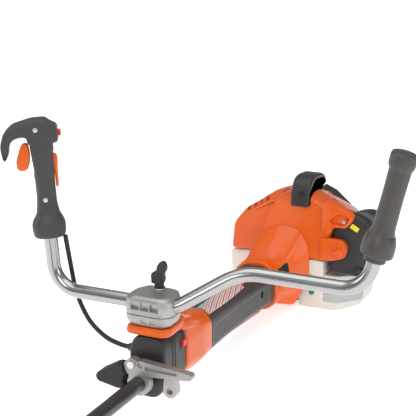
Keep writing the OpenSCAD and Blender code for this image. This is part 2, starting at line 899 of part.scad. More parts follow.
head_r = head_d / 2;
head_top = 50;
line_z = head_top + 30;
module head_housing() {
    color("#1f1f21") on_output() difference() {
        translate([0, 0, head_top]) cylinder(h = 50, r = head_r);
        translate([0, 0, head_top + 5]) cylinder(h = 50, r = head_r - 4);
        translate([0, 0, head_top - 1]) cylinder(h = 8, r = spindle_r + press_gap);
        rotate([90, 0, 0]) translate([0, line_z, -100]) cylinder(h = 200, r = 3);
        for (a = [0 : 30 : 330]) rotate([0, 0, a + 15])
            translate([head_r + 5, 0, head_top - 1]) cylinder(h = 60, r = 7);
    }
}

module line_spool() {
    color("gray") on_output() difference() {
        translate([0, 0, head_top + 7]) cylinder(h = 30, r = 46);
        for (z = [10, 25]) translate([0, 0, head_top + z]) difference() {
            cylinder(h = 10, r = 50);
            translate([0, 0, -1]) cylinder(h = 12, r = 24);
        }
        translate([0, 0, head_top]) cylinder(h = 40, r = 18);
    }
}

module bump_knob() {
    color("#e2571e") on_output() {
        translate([0, 0, head_top + 44]) cylinder(h = 4, r = head_r - 5);
        translate([0, 0, head_top + 47]) cylinder(h = 16, r = 26);
    }
}

line_radius = 1.3;
module cutting_lines() {
    color("orange") on_output() for (side = [0, 180]) rotate([0, 0, 90 + side])
        translate([26, 0, line_z]) rotate([0, 90, 0])
            cylinder(h = line_r - 26, r = line_radius);
}

guard_top = 37.5;
module guard() {
    guard_profile = [
        [26.5, guard_top], [guard_r - 8, guard_top], [guard_r, guard_top + 10],
        [guard_r, skirt_end], [guard_r - 4, skirt_end], [guard_r - 4, guard_top + 12],
        [guard_r - 10, guard_top + 4], [26.5, guard_top + 4]
    ];
    color("#1f1f21") difference() {
        on_output() rotate([0, 0, -guard_angle / 2])
            rotate_extrude(angle = guard_angle, $fn = 96) polygon(guard_profile);
        below_ground();
    }
    color("silver") on_output() rotate([0, 0, guard_angle / 2]) translate([guard_r - 12, 0, 0])
        box(0, 8, -14, -0.5, skirt_end - 26, skirt_end - 8);
}

// Screws that hold the casings; each is a separate solid.
module screws() {
    color("silver") {
        rod_y(4 - press_gap, lug_y0 - 3, lug_y1, -12, 36);
        rod_y(7, lug_y0 - 6, lug_y0 - 0.1, -12, 36);
        rod_y(4 - press_gap, 550, 555, 73, 200);
        on_output() for (a = [-50, 0, 50]) rotate([0, 0, a])
            translate([30, 0, guard_top + 4.1]) cylinder(h = 3, r = 3);
    }
}

at_rest() drive_tube();
at_rest() drive_shaft();
at_rest() shaft_bushes();
at_rest() clutch_drum();
at_rest() clutch_bearing();
at_rest() clutch_shoes();
at_rest() flywheel();
at_rest() crankshaft();
at_rest() crank_bearings();
at_rest() crankcase();
at_rest() engine_cylinder();
at_rest() piston();
at_rest() connecting_rod();
at_rest() spark_plug();
at_rest() ignition_coil();
at_rest() intake_boot();
at_rest() carburettor();
at_rest() muffler();
at_rest() muffler_cover();
at_rest() engine_hood();
at_rest() hood_arch();
at_rest() side_cowl();
at_rest() fan_housing();
at_rest() fuel_tank();
at_rest() fuel_cap();
at_rest() stand();
at_rest() filter_base();
at_rest() air_filter();
at_rest() filter_cover();
at_rest() filter_knob();
at_rest() primer_bulb();
at_rest() starter_housing();
at_rest() starter_pulley();
at_rest() starter_rope();
at_rest() starter_grip();
at_rest() av_housing();
at_rest() av_rubbers();
at_rest() stripe_band();
at_rest() handle_bracket();
at_rest() handle_support();
at_rest() harness_lug();
at_rest() rubber_rest();
at_rest() clamp_lower();
at_rest() clamp_upper();
at_rest() wing_screw();
at_rest() handlebar();
at_rest() control_shells();
at_rest() throttle_trigger();
at_rest() throttle_lockout();
at_rest() stop_switch();
at_rest() left_hand_grip();
at_rest() throttle_cable();
at_rest() gear_housing();
at_rest() output_spindle();
at_rest() head_housing();
at_rest() line_spool();
at_rest() bump_knob();
at_rest() cutting_lines();
at_rest() guard();
at_rest() screws();
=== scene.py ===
# %% [markdown]
# # A petrol string trimmer
# The machine is a long tube with an engine at the back, a line head at the front and a bent
# handlebar between them. Its frame, joints and inner parts are already fixed as a CAD model.
# This lesson dresses that frame: it makes the surfaces that people see and touch, as arrays of
# points worked out with numpy, and it mixes a procedural finish for every part.

# %% Load the frame
import json
import math

import bmesh
import bpy
import numpy as np
from mathutils import Matrix

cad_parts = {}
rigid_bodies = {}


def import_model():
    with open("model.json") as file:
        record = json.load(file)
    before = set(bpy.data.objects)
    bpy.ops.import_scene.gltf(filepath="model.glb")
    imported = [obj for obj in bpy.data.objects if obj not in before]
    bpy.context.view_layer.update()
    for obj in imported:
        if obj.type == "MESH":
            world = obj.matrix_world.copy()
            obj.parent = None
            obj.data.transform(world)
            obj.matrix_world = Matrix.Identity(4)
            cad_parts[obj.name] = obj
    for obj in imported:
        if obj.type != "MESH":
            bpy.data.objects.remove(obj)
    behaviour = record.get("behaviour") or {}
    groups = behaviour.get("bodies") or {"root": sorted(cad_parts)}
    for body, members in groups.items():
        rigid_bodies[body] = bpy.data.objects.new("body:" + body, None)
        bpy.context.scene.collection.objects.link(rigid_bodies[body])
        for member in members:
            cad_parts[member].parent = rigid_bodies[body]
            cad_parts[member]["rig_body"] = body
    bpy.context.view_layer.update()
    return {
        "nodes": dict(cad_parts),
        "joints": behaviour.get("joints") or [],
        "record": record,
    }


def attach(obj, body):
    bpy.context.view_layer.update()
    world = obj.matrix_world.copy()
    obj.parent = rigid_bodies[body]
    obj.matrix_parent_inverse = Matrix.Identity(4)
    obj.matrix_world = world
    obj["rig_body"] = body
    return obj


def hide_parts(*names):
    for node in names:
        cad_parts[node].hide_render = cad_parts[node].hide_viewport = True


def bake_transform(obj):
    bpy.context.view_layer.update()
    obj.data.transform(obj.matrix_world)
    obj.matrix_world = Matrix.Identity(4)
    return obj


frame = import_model()
nodes = frame["nodes"]

# %% [markdown]
# The machine stands on its tank and its guard, so its drive tube is a few degrees off level.
# Shapes are easier to describe along the tube, in millimetres: x to the side, y back to the
# engine, z up, with the origin in the tube under the handlebar clamp. The swivel joint of the
# handlebar stands square on the tube, 26 mm behind the origin and 100 mm above it, so its axis
# and place give this frame.

# %% Machine axes
MM = 0.001
SWIVEL_BACK = 26.0
SWIVEL_HEIGHT = 100.0
joints = {joint["name"]: joint for joint in frame["joints"]}


def unit(vector):
    """The vector divided by its length."""
    vector = np.asarray(vector, float)
    return vector / np.linalg.norm(vector, axis=-1, keepdims=True)


swivel = joints["handle_swivel"]
up = unit(swivel["axis"])
side = np.array([1.0, 0.0, 0.0])
back = np.cross(up, side)
axes = np.array([side, back, up])
origin = np.array(swivel["pos_m"]) - SWIVEL_BACK * MM * back - SWIVEL_HEIGHT * MM * up


def place(points):
    """Machine millimetres to scene metres: origin + x side + y back + z up."""
    return origin + np.asarray(points, float) * MM @ axes


def local_axes(z_way, x_way):
    """Rows u, v, w: w along z_way, v square to both, u the part of x_way square to w."""
    w = unit(z_way)
    v = unit(np.cross(w, x_way))
    return np.array([np.cross(v, w), v, w])


print("tube slope:", round(math.degrees(math.asin(back[2])), 2), "degrees")

# %% [markdown]
# Most casings are moulded shells: an outline that changes as it moves along an axis, with rounded
# corners and rounded ends. `outline` rounds the corners of a polygon and spaces points round it,
# and `shell` carries outlines along an axis. Both work on whole arrays.

# %% Outlines and shells
def outline(corners, reach=6.0, arc=5, edge=4):
    """Closed outline: each corner becomes a parabola (1-s)^2 a + 2s(1-s) p + s^2 b between points
    a and b that lie `reach` from the corner p, and each straight is cut into `edge` steps."""
    p = np.asarray(corners, float)
    to_last = np.roll(p, 1, 0) - p
    to_next = np.roll(p, -1, 0) - p
    last_length = np.linalg.norm(to_last, axis=1)
    next_length = np.linalg.norm(to_next, axis=1)
    cut = np.minimum(reach, 0.46 * np.minimum(last_length, next_length))
    a = p + to_last * (cut / last_length)[:, None]
    b = p + to_next * (cut / next_length)[:, None]
    s = np.linspace(0, 1, arc + 1)[None, :, None]
    bends = (1 - s) ** 2 * a[:, None] + 2 * s * (1 - s) * p[:, None] + s**2 * b[:, None]
    t = (np.arange(1, edge) / edge)[None, :, None]
    straights = b[:, None] + (np.roll(a, -1, 0) - b)[:, None] * t
    return np.concatenate([bends, straights], 1).reshape(-1, p.shape[1])


def ellipse(cx, cy, rx, ry, count=48, square=1.0):
    """Points round a centre: (cx + rx c, cy + ry s) with c and s the cosine and sine, whose size
    is raised to the power `square`; below 1 the ellipse fills out towards a rectangle."""
    angle = 2 * np.pi * np.arange(count) / count
    c, s = np.cos(angle), np.sin(angle)
    return np.stack([cx + rx * np.sign(c) * abs(c) ** square,
                     cy + ry * np.sign(s) * abs(s) ** square], -1)


def outward(rows):
    """Unit normals of closed outlines in their own plane, pointing out of them."""
    tangent = unit(np.roll(rows, -1, 1) - np.roll(rows, 1, 1) + 1e-12)
    normal = np.stack([tangent[..., 1], -tangent[..., 0]], -1)
    nxt = np.roll(rows[0], -1, 0)
    area = np.sum(rows[0, :, 0] * nxt[:, 1] - rows[0, :, 1] * nxt[:, 0])
    return normal * np.sign(area)


def shell(stations, first=3.0, last=3.0, steps=20):
    """Grid of points (a, b, c): outlines at places c, joined by a cubic through the stations.
    Within a rounding r of an end, at distance s, the outline is pulled in by
    r - sqrt(r^2 - (r - s)^2), so that the end turns over in a quarter circle."""
    at = np.array([station[0] for station in stations], float)
    rows = np.array([station[1] for station in stations], float)
    turn = 1 - np.cos(np.linspace(0, np.pi / 2, 6))
    c = np.concatenate([at[0] + first * turn, np.linspace(at[0] + first, at[-1] - last, steps),
                        at[-1] - last * turn])
    c = np.unique(np.round(c, 4))
    k = np.clip(np.searchsorted(at, c, side="right") - 1, 0, len(at) - 2)
    h = (at[k + 1] - at[k])[:, None, None]
    t = (c - at[k])[:, None, None] / h
    slope = np.gradient(rows, at, axis=0)
    section = ((2 * t**3 - 3 * t**2 + 1) * rows[k] + (t**3 - 2 * t**2 + t) * h * slope[k]
               + (3 * t**2 - 2 * t**3) * rows[k + 1] + (t**3 - t**2) * h * slope[k + 1])
    near_first = np.clip(first - (c - at[0]), 0, None)
    near_last = np.clip(last - (at[-1] - c), 0, None)
    pull = (first - np.sqrt(np.clip(first**2 - near_first**2, 0, None))
            + last - np.sqrt(np.clip(last**2 - near_last**2, 0, None)))
    section = section - outward(section) * pull[:, None, None]
    along = np.broadcast_to(c[:, None, None], section.shape[:2] + (1,))
    return np.concatenate([section, along], -1)


def along_y(grid):
    """Outline in x and z, carried along y."""
    return grid[..., [0, 2, 1]]


def along_x(grid):
    """Outline in y and z, carried along x."""
    return grid[..., [2, 0, 1]]


def slab(corners, ends, reach, rounding, steps, arc=5, edge=4):
    """Shell of one outline, from one end to the other, with the rounding of each end."""
    form = outline(corners, reach, arc, edge)
    return shell([(ends[0], form), (ends[1], form)], *rounding, steps)


def lowered(section, middle, foot, rows, reach, arc, edge):
    """Stations of a section, for rows of (place, share, height): it is drawn in about its middle
    to a share of its size, and lowered towards its foot to a share of its height."""
    stations = []
    for at, share, height in rows:
        drawn = middle + (section - middle) * share
        drawn[:, 1] = foot + (drawn[:, 1] - foot) * height
        stations.append((at, outline(drawn, reach, arc, edge)))
    return stations


def xyz(grid):
    """The x, y and z of every point of a grid, as three arrays."""
    return np.moveaxis(grid, -1, 0)


print("a square with rounded corners has", len(outline([(0, 0), (9, 0), (9, 9), (0, 9)])), "points")

# %% [markdown]
# Turned parts are a profile spun round an axis, and tubes are a circle carried along a path.
# Grooves, pockets and seams are pressed into a finished grid along its normals, with soft edged
# masks that say how deep each point goes.

# %% Turned, swept and pressed grids
def turned(profile, sides=48):
    """Grid of a profile of (radius, height) points spun round the z axis."""
    r, h = np.asarray(profile, float).T
    angle = 2 * np.pi * np.arange(sides) / sides
    return np.stack([r[:, None] * np.cos(angle), r[:, None] * np.sin(angle),
                     h[:, None] + 0 * angle], -1)


def swept(path, radius, sides=32, reference=(0, 1, 0.2)):
    """Grid of circles round each point of a path, p + r (u cos a + v sin a), where u and v are
    square to the path's direction."""
    path = np.asarray(path, float)
    way = unit(np.gradient(path, axis=0))
    u = unit(np.cross(way, reference))
    v = np.cross(way, u)
    angle = 2 * np.pi * np.arange(sides) / sides
    r = np.broadcast_to(np.asarray(radius, float), len(path))[:, None, None]
    return (path[:, None] + r * (u[:, None] * np.cos(angle)[None, :, None]
                                 + v[:, None] * np.sin(angle)[None, :, None]))


def curve(points, steps=8):
    """Catmull-Rom curve through points: a cubic between each pair of neighbours."""
    p = np.asarray(points, float)
    p = np.concatenate([[2 * p[0] - p[1]], p, [2 * p[-1] - p[-2]]])
    t = (np.arange(steps) / steps)[None, :, None]
    a, b, c, d = (p[i:len(p) - 3 + i, None] for i in range(4))
    line = 0.5 * (2 * b + (c - a) * t + (2 * a - 5 * b + 4 * c - d) * t**2
                  + (3 * b - a - 3 * c + d) * t**3)
    return np.concatenate([line.reshape(-1, p.shape[1]), p[-2:-1]])


def ramp(x, low, high):
    """0 below low, 1 above high, 3t^2 - 2t^3 between."""
    t = np.clip((x - low) / (high - low), 0, 1)
    return t * t * (3 - 2 * t)


def bump_at(x, centre, half, soft=1.0):
    """1 within `half` of the centre, 0 past half + soft."""
    return 1 - ramp(abs(x - centre), half, half + soft)


def pressed(grid, depth):
    """Grid with each point moved inwards along the surface normal by `depth` millimetres. The
    normal is the cross product of the grid's two directions, turned away from its middle line."""
    down = np.gradient(grid, axis=0)
    across = np.roll(grid, -1, 1) - np.roll(grid, 1, 1)
    normal = unit(np.cross(down, across) + 1e-12)
    facing = np.sum(normal * (grid - grid.mean(1, keepdims=True)), -1)
    return grid - normal * np.sign(facing.sum()) * np.asarray(depth)[..., None]


print("a turned cylinder grid:", turned([(5, 0), (5, 10)]).shape)

# %% [markdown]
# A grid becomes a closed solid with quads between its rows and one face over each end. `piece`
# puts one or more solids into a mesh, merges doubled points, makes every face point out, rounds
# the shading below a crease angle, and ties the piece to the body that carries it.

# %% From grids to pieces
def solid(grid, finish=0):
    """Points, faces and the finish number of each face, of a grid closed round its columns and
    over its two ends. `finish` is one number, or an array with one for each quad."""
    rows, columns = grid.shape[:2]
    i = np.arange(rows - 1)[:, None] * columns
    j = np.arange(columns)[None, :]
    k = (j + 1) % columns
    quads = np.stack([i + j, i + k, i + columns + k, i + columns + j], -1).reshape(-1, 4)
    ends = [np.arange(columns)[::-1].tolist(), ((rows - 1) * columns + np.arange(columns)).tolist()]
    numbers = np.broadcast_to(np.asarray(finish), (rows - 1, columns)).reshape(-1)
    return (grid.reshape(-1, 3), quads.tolist() + ends,
            np.concatenate([numbers, [numbers[0], numbers[-1]]]))


def fill_mesh(mesh, solids):
    """Puts solids, in metres, into a mesh, with their faces pointing out."""
    start = np.cumsum([0] + [len(points) for points, _, _ in solids])
    faces = [[n + int(offset) for n in face]
             for offset, (_, part, _) in zip(start, solids) for face in part]
    mesh.from_pydata(np.concatenate([points for points, _, _ in solids]).tolist(), [], faces)
    mesh.polygons.foreach_set("material_index",
                              np.concatenate([n for _, _, n in solids]).astype(np.int32))
    work = bmesh.new()
    work.from_mesh(mesh)
    bmesh.ops.remove_doubles(work, verts=work.verts, dist=2e-6)
    bmesh.ops.recalc_face_normals(work, faces=work.faces)
    work.to_mesh(mesh)
    work.free()


def add_object(name, data):
    """Makes an object with this data and puts it in the scene."""
    thing = bpy.data.objects.new(name, data)
    bpy.context.scene.collection.objects.link(thing)
    return thing


def dress(thing, body, finishes, stands_for, crease):
    """Gives a piece its finishes, shading and body, and hides the CAD nodes that it stands for."""
    for finish in finishes:
        thing.data.materials.append(finish)
    thing.data.polygons.foreach_set("use_smooth", np.ones(len(thing.data.polygons), bool))
    thing.data.set_sharp_from_angle(angle=math.radians(crease))
    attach(thing, body)
    if stands_for:
        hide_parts(*stands_for)
    return thing


def piece(name, grids, body, slot, finishes=None, stands_for=(), crease=32, on_ground=False):
    """Makes a piece from grids or solids in machine millimetres."""
    solids = [solid(grid) if isinstance(grid, np.ndarray) else grid for grid in grids]
    placed = [(place(points), faces, numbers) for points, faces, numbers in solids]
    if on_ground:
        for points, _, _ in placed:
            points[:, 2] = np.maximum(points[:, 2], 0)
    mesh = bpy.data.meshes.new(name)
    fill_mesh(mesh, placed)
    thing = add_object(name, mesh)
    dress(thing, body, finishes or [finish_of[slot]], stands_for, crease)
    print(name, "faces", len(mesh.polygons))
    return thing


def body_of(node):
    """Name of the body that carries a CAD node."""
    return nodes[node]["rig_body"]


slot_of = {part["node"]: part["material_slot"] for part in frame["record"]["subparts"]}
print("finish slots:", len(set(slot_of.values())))

# %% [markdown]
# A finish is a Principled shader whose colour, roughness and bump are worked out from the place
# on the surface. Writing that as Python sums keeps it readable: `Value` wraps one socket of the
# node tree, and each operator on it adds a Math node.

# %% Shader maths
class Value:
    """A socket of a node tree that Python operators can work on."""

    def __init__(self, finish, socket):
        self.finish = finish
        self.socket = socket

    def math(self, operation, *values):
        """Adds a Math node of this operation with this value and the others."""
        return self.finish.add("ShaderNodeMath", {"operation": operation}, [self, *values])

    def __add__(self, other):
        return self.math("ADD", other)

    def __sub__(self, other):
        return self.math("SUBTRACT", other)

    def __mul__(self, other):
        return self.math("MULTIPLY", other)

    def __truediv__(self, other):
        return self.math("DIVIDE", other)

    __radd__ = __add__
    __rmul__ = __mul__


class Finish:
    """A material with a Principled shader. Even values go straight on the shader's sockets."""

    def __init__(self, name, colour, roughness, metallic=0.0, **even):
        self.material = bpy.data.materials.new(name)
        self.material.use_nodes = True
        self.tree = self.material.node_tree
        self.shader = self.tree.nodes["Principled BSDF"]
        self.shader.inputs["Base Color"].default_value = (*colour, 1)
        self.shader.inputs["Roughness"].default_value = roughness
        self.shader.inputs["Metallic"].default_value = metallic
        for socket, value in even.items():
            self.shader.inputs[socket.replace("_", " ")].default_value = value
        self.material.diffuse_color = (*colour, 1)
        self.place = self.add("ShaderNodeTexCoord", {}, [], "Object")

    def add(self, kind, settings, inputs, output=0):
        """Adds a node of any kind: its settings first, then its inputs, by order or by name."""
        node = self.tree.nodes.new(kind)
        for setting, value in settings.items():
            setattr(node, setting, value)
        named = inputs.items() if isinstance(inputs, dict) else enumerate(inputs)
        for key, value in named:
            if isinstance(value, Value):
                self.tree.links.new(value.socket, node.inputs[key])
            else:
                node.inputs[key].default_value = value
        return Value(self, node.outputs[output])

    def noise(self, scale, detail=3.0, stretch=None):
        """Soft noise from 0 to 1 on the object's own coordinates, `scale` waves to a metre."""
        where = self.place
        if stretch:
            where = self.add("ShaderNodeMapping", {}, {"Vector": where, "Scale": stretch})
        return self.add("ShaderNodeTexNoise", {},
                        {"Vector": where, "Scale": scale, "Detail": detail})

    def mix(self, factor, first, second):
        """Colour that goes from the first to the second as the factor goes from 0 to 1."""
        return self.add("ShaderNodeMix", {"data_type": "RGBA"},
                        {0: factor, 6: (*first, 1) if isinstance(first, tuple) else first,
                         7: (*second, 1) if isinstance(second, tuple) else second}, 2)

    def set(self, socket, value):
        """Links a value to one of the shader's sockets."""
        self.tree.links.new(value.socket, self.shader.inputs[socket])
        return self

    def bump(self, height, depth):
        """Roughens the surface by a height from 0 to 1, `depth` metres deep."""
        return self.set("Normal", self.add("ShaderNodeBump", {},
                                           {"Height": height, "Distance": depth,
                                            "Strength": 1.0}))


print("shader maths ready")

# %% [markdown]
# Moulded plastic is never quite even. Gloss shells have a faint orange peel and a thin clear
# gloss over the colour. Grained plastic is sparked in the mould: its colour stays the same, but
# the roughness and the surface have a fine grain. Handled places wear a little smoother.

# %% Plastics and rubber
def moulded(name, colour, roughness, grain, grain_scale=1400.0, spread=0.06, **even):
    """Plastic whose colour, gloss and surface vary: cloudy tone, fine grain, soft patches."""
    finish = Finish(name, colour, roughness, **even)
    cloud = finish.noise(9.0, 4.0)
    fine = finish.noise(grain_scale, 2.0)
    darker = tuple(c * (1 - 2.2 * spread) for c in colour)
    lighter = tuple(min(1.0, c * (1 + 2.2 * spread)) for c in colour)
    finish.set("Base Color", finish.mix(cloud, darker, lighter))
    finish.set("Roughness", roughness * (0.82 + cloud * 0.2 + fine * 0.16))
    finish.bump(fine, grain)
    return finish.material


finish_of = {
    "orange_shell": moulded("orange gloss shell", (0.74, 0.102, 0.0), 0.34, 0.000012, 900.0,
                            0.03, Coat_Weight=0.3, Coat_Roughness=0.08, Specular_IOR_Level=0.35),
    "black_plastic": moulded("black grained plastic", (0.022, 0.022, 0.024), 0.44, 0.00006),
    "charcoal_plastic": moulded("charcoal grained plastic", (0.042, 0.041, 0.042), 0.46, 0.00005),
    "cream_plastic": moulded("cream tank plastic", (0.74, 0.72, 0.66), 0.38, 0.00002, 700.0, 0.02,
                             Subsurface_Weight=0.15, Subsurface_Scale=0.01),
    "tube_paint": moulded("black tube paint", (0.018, 0.018, 0.02), 0.32, 0.00002, 1100.0, 0.05,
                          Coat_Weight=0.3, Coat_Roughness=0.15),
    "black_rubber": moulded("black rubber", (0.017, 0.017, 0.017), 0.62, 0.00008, 900.0),
    "red_plastic": moulded("red gloss plastic", (0.62, 0.012, 0.008), 0.26, 0.00001, 900.0, 0.04,
                           Coat_Weight=0.4, Coat_Roughness=0.08),
    "ceramic_white": moulded("glazed ceramic", (0.86, 0.85, 0.82), 0.18, 0.00001, 600.0, 0.02,
                             Coat_Weight=0.6, Coat_Roughness=0.05),
    "line_nylon": moulded("orange nylon line", (0.85, 0.26, 0.02), 0.28, 0.00001, 800.0, 0.03,
                          Subsurface_Weight=0.2, Subsurface_Scale=0.003),
}
yellow_plate = moulded("yellow plate", (0.85, 0.78, 0.02), 0.35, 0.00001, 700.0, 0.02)
green_plastic = moulded("green plastic", (0.0, 0.22, 0.10), 0.35, 0.00001, 700.0, 0.04)
# Darker red-orange for the floors of the heat slots and the hood's pocket: the orange shell with its
# shade painted in.
slot_shade_paint = moulded("orange slot shade paint", (0.42, 0.01, 0.006), 0.5, 0.00002)
# Near-black for the floors of holes and gaps and the ring round the filter knob: painted shade, not the
# plastic's colour.
recess_shade_paint = moulded("painted recess shade", (0.008, 0.008, 0.008), 0.7, 0.00003)
grip_plastic = moulded("worn grip plastic", (0.060, 0.055, 0.050), 0.42, 0.00006, 1100.0, 0.08)
tank_window = moulded("clear tank window", (0.42, 0.47, 0.46), 0.22, 0.00001, 500.0, 0.05,
                      Coat_Weight=0.5, Coat_Roughness=0.06)
print("plastics:", len(finish_of))

# %% [markdown]
# Metals take their look from how they were made. The bar is polished lengthwise and clear
# coated, castings are blasted and a little warm in colour, turned steel has fine rings, and the
# muffler has gone brown with heat.

# %% Metals and fibres
def metal(name, colour, roughness, grain, scale, stretch=None, spread=0.1, metallic=1.0, **even):
    """Metal whose roughness follows a noise that may be stretched along the tool's marks."""
    finish = Finish(name, colour, roughness, metallic, **even)
    marks = finish.noise(scale, 4.0, stretch)
    cloud = finish.noise(14.0, 3.0)
    finish.set("Roughness", roughness * (0.7 + marks * 0.4 + cloud * 0.2))
    darker = tuple(c * (1 - spread) for c in colour)
    finish.set("Base Color", finish.mix(cloud * 0.5 + marks * 0.5, darker, colour))
    finish.bump(marks, grain)
    return finish.material


def fibre(name, colour, dark, scale, roughness=0.85):
    """Felt or braid: a fine weave of light and dark threads."""
    finish = Finish(name, colour, roughness, Sheen_Weight=0.3)
    threads = finish.add("ShaderNodeTexWave", {"bands_direction": "DIAGONAL"},
                         {"Vector": finish.place, "Scale": scale, "Distortion": 2.5,
                          "Detail": 2.0}, 1)
    finish.set("Base Color", finish.mix(threads, dark, colour))
    finish.set("Roughness", 0.75 + threads * 0.2)
    finish.bump(threads, 0.0003)
    return finish.material


finish_of.update({
    "bar_aluminium": metal("polished bar", (0.43, 0.43, 0.43), 0.22, 0.000004, 700.0,
                           (0.05, 1.0, 1.0), 0.05),
    "cast_aluminium": metal("blasted casting", (0.45, 0.44, 0.42), 0.44, 0.00012, 650.0, None,
                            0.14, 0.85),
    "machined_steel": metal("turned steel", (0.55, 0.55, 0.57), 0.3, 0.00001, 500.0,
                            (0.2, 1.0, 1.0)),
    "steel_zinc": metal("zinc plated steel", (0.68, 0.68, 0.66), 0.32, 0.00002, 400.0),
    "hot_steel": metal("heated steel", (0.20, 0.15, 0.11), 0.55, 0.00006, 160.0, None, 0.4, 0.8),
    "filter_felt": fibre("filter felt", (0.78, 0.75, 0.64), (0.6, 0.57, 0.46), 180.0),
    "rope_cord": fibre("starter cord", (0.8, 0.8, 0.76), (0.25, 0.3, 0.5), 300.0, 0.7),
})
print("finishes:", len(finish_of))

# %% [markdown]
# The strip along the top of the charcoal housing has slanted orange-red bars with white edges on
# a grey-blue ground. They are printed, so they are a pattern in the finish: the distance along
# the tube, plus a share of the distance across it, is cut into even bars.

# %% Printed bars
def printed_bars(first, spacing, count, slant):
    """Bars at even steps of the distance along back + slant * side, from `first` on. Within 0.17
    of a step from the step's middle it is red, out to 0.29 white, and past that the ground."""
    finish = Finish("printed bars", (0.36, 0.44, 0.44), 0.3, Coat_Weight=0.4,
                    Coat_Roughness=0.1)
    way = back + slant * side
    along = finish.add("ShaderNodeVectorMath", {"operation": "DOT_PRODUCT"},
                       [finish.place, tuple(way)], 1)
    start = float(origin @ way) + first * MM
    steps = (along - start) / (spacing * MM)
    phase = steps.math("FRACT") - 0.5
    distance = phase.math("ABSOLUTE")
    inside = steps.math("GREATER_THAN", 0.0) * steps.math("LESS_THAN", float(count))
    red = distance.math("LESS_THAN", 0.17) * inside
    white = distance.math("LESS_THAN", 0.29) * inside
    ground = finish.mix(finish.noise(30.0), (0.33, 0.41, 0.41), (0.40, 0.47, 0.47))
    edged = finish.mix(white, ground, (0.86, 0.86, 0.84))
    finish.set("Base Color", finish.mix(red, edged, (0.72, 0.09, 0.02)))
    finish.set("Roughness", 0.24 + finish.noise(300.0) * 0.12)
    return finish.material


finish_of["stripe_print"] = printed_bars(first=232, spacing=30, count=7, slant=3.5)
for node, thing in nodes.items():
    thing.data.materials.clear()
    thing.data.materials.append(finish_of[slot_of[node]])
print("every CAD node has a finish:", all(len(n.data.materials) == 1 for n in nodes.values()))

# %% [markdown]
# The machine is seen from in front of the operator's left hand, a little above the handlebar,
# with a long lens. Two metres away, the handlebar nearly fills the picture. The floor is plain
# and pale, and large soft lights stand above and at both sides, so that the gloss shells and the
# polished bar have wide, soft highlights. The sky is white, and its strength rises from 0.18 near
# the horizon to 0.5 overhead. The floor glows a little, so that it stays pale in the shade.

# %% Camera, floor and lights
VIEW_SIDE = math.radians(24.95)
VIEW_RISE = math.radians(16.34)
VIEW_DISTANCE = 2125
SENSOR_WIDTH = 36
FOCAL_LENGTH = 108.35
AIM = np.array([108.0, 0.0, 321.3])
SKY = {"From Min": 0.05, "From Max": 0.85, "To Min": 0.18, "To Max": 0.50}
FLOOR_GLOW = 0.55
FLOOR_HALF = 60.0
toward = np.array([math.sin(VIEW_SIDE) * math.cos(VIEW_RISE),
                   -math.cos(VIEW_SIDE) * math.cos(VIEW_RISE), math.sin(VIEW_RISE)])
rightward = np.array([math.cos(VIEW_SIDE), math.sin(VIEW_SIDE), 0.0])
upward = np.cross(toward, rightward)
lens = bpy.data.cameras.new("camera")
lens.sensor_width = SENSOR_WIDTH
lens.lens = FOCAL_LENGTH
camera = add_object("camera", lens)
turn = np.eye(4)
turn[:3, :3] = (np.array([rightward, upward, toward]) @ axes).T
turn[:3, 3] = place(AIM + toward * VIEW_DISTANCE)
camera.matrix_world = Matrix(turn)
bpy.context.scene.camera = camera


def soft_light(name, at, to, width, power, height=None):
    """Rectangular light at a place in metres, facing another place."""
    lamp = bpy.data.lights.new(name, "AREA")
    lamp.shape = "RECTANGLE"
    lamp.size = width
    lamp.size_y = height or width
    lamp.energy = power
    light = add_object(name, lamp)
    w = unit(np.asarray(at, float) - np.asarray(to, float))
    pose = np.eye(4)
    pose[:3, :3] = local_axes(w, (1, 0.1, 0)).T
    pose[:3, 3] = at
    light.matrix_world = Matrix(pose)


centre = place((60, 300, 120))
soft_light("top light", centre + (0, -0.2, 2.4), centre, 2.6, 30)
soft_light("left light", centre + (-2.6, -1.2, 1.2), centre, 1.6, 18)
soft_light("right light", centre + (2.8, -0.8, 1.0), centre, 1.4, 15)
soft_light("front light", centre + (0.6, -3.2, 1.9), centre, 2.4, 34, 1.2)

sky = bpy.data.worlds.new("studio")
sky.use_nodes = True
sky_nodes, sky_links = sky.node_tree.nodes, sky.node_tree.links
direction = sky_nodes.new("ShaderNodeTexCoord")
split = sky_nodes.new("ShaderNodeSeparateXYZ")
fade = sky_nodes.new("ShaderNodeMapRange")
for socket, value in SKY.items():
    fade.inputs[socket].default_value = value
sky_links.new(direction.outputs["Generated"], split.inputs[0])
sky_links.new(split.outputs["Z"], fade.inputs["Value"])
sky_links.new(fade.outputs["Result"], sky_nodes["Background"].inputs["Strength"])
sky_nodes["Background"].inputs["Color"].default_value = (1, 1, 1, 1)
bpy.context.scene.world = sky
bpy.context.scene.view_settings.view_transform = "Standard"

floor_finish = Finish("pale floor", (0.96, 0.96, 0.96), 0.6)
floor_finish.set("Roughness", 0.55 + floor_finish.noise(3.0) * 0.1)
floor_finish.shader.inputs["Emission Color"].default_value = (1, 1, 1, 1)
floor_finish.shader.inputs["Emission Strength"].default_value = FLOOR_GLOW
corners = [(x * FLOOR_HALF, y * FLOOR_HALF, 0) for x, y in ((-1, -1), (1, -1), (1, 1), (-1, 1))]
floor_mesh = bpy.data.meshes.new("floor")
floor_mesh.from_pydata(corners, [], [(0, 1, 2, 3)])
floor = add_object("floor", floor_mesh)
floor.data.materials.append(floor_finish.material)
print("camera at", [round(float(v), 3) for v in turn[:3, 3]])

# %% [markdown]
# The handlebar is one aluminium tube with four bends, each an arc that touches the straight runs
# on both sides. Its line runs through the clamp, over the engine side and up into both grips.
# A circle carried along that line makes the tube.

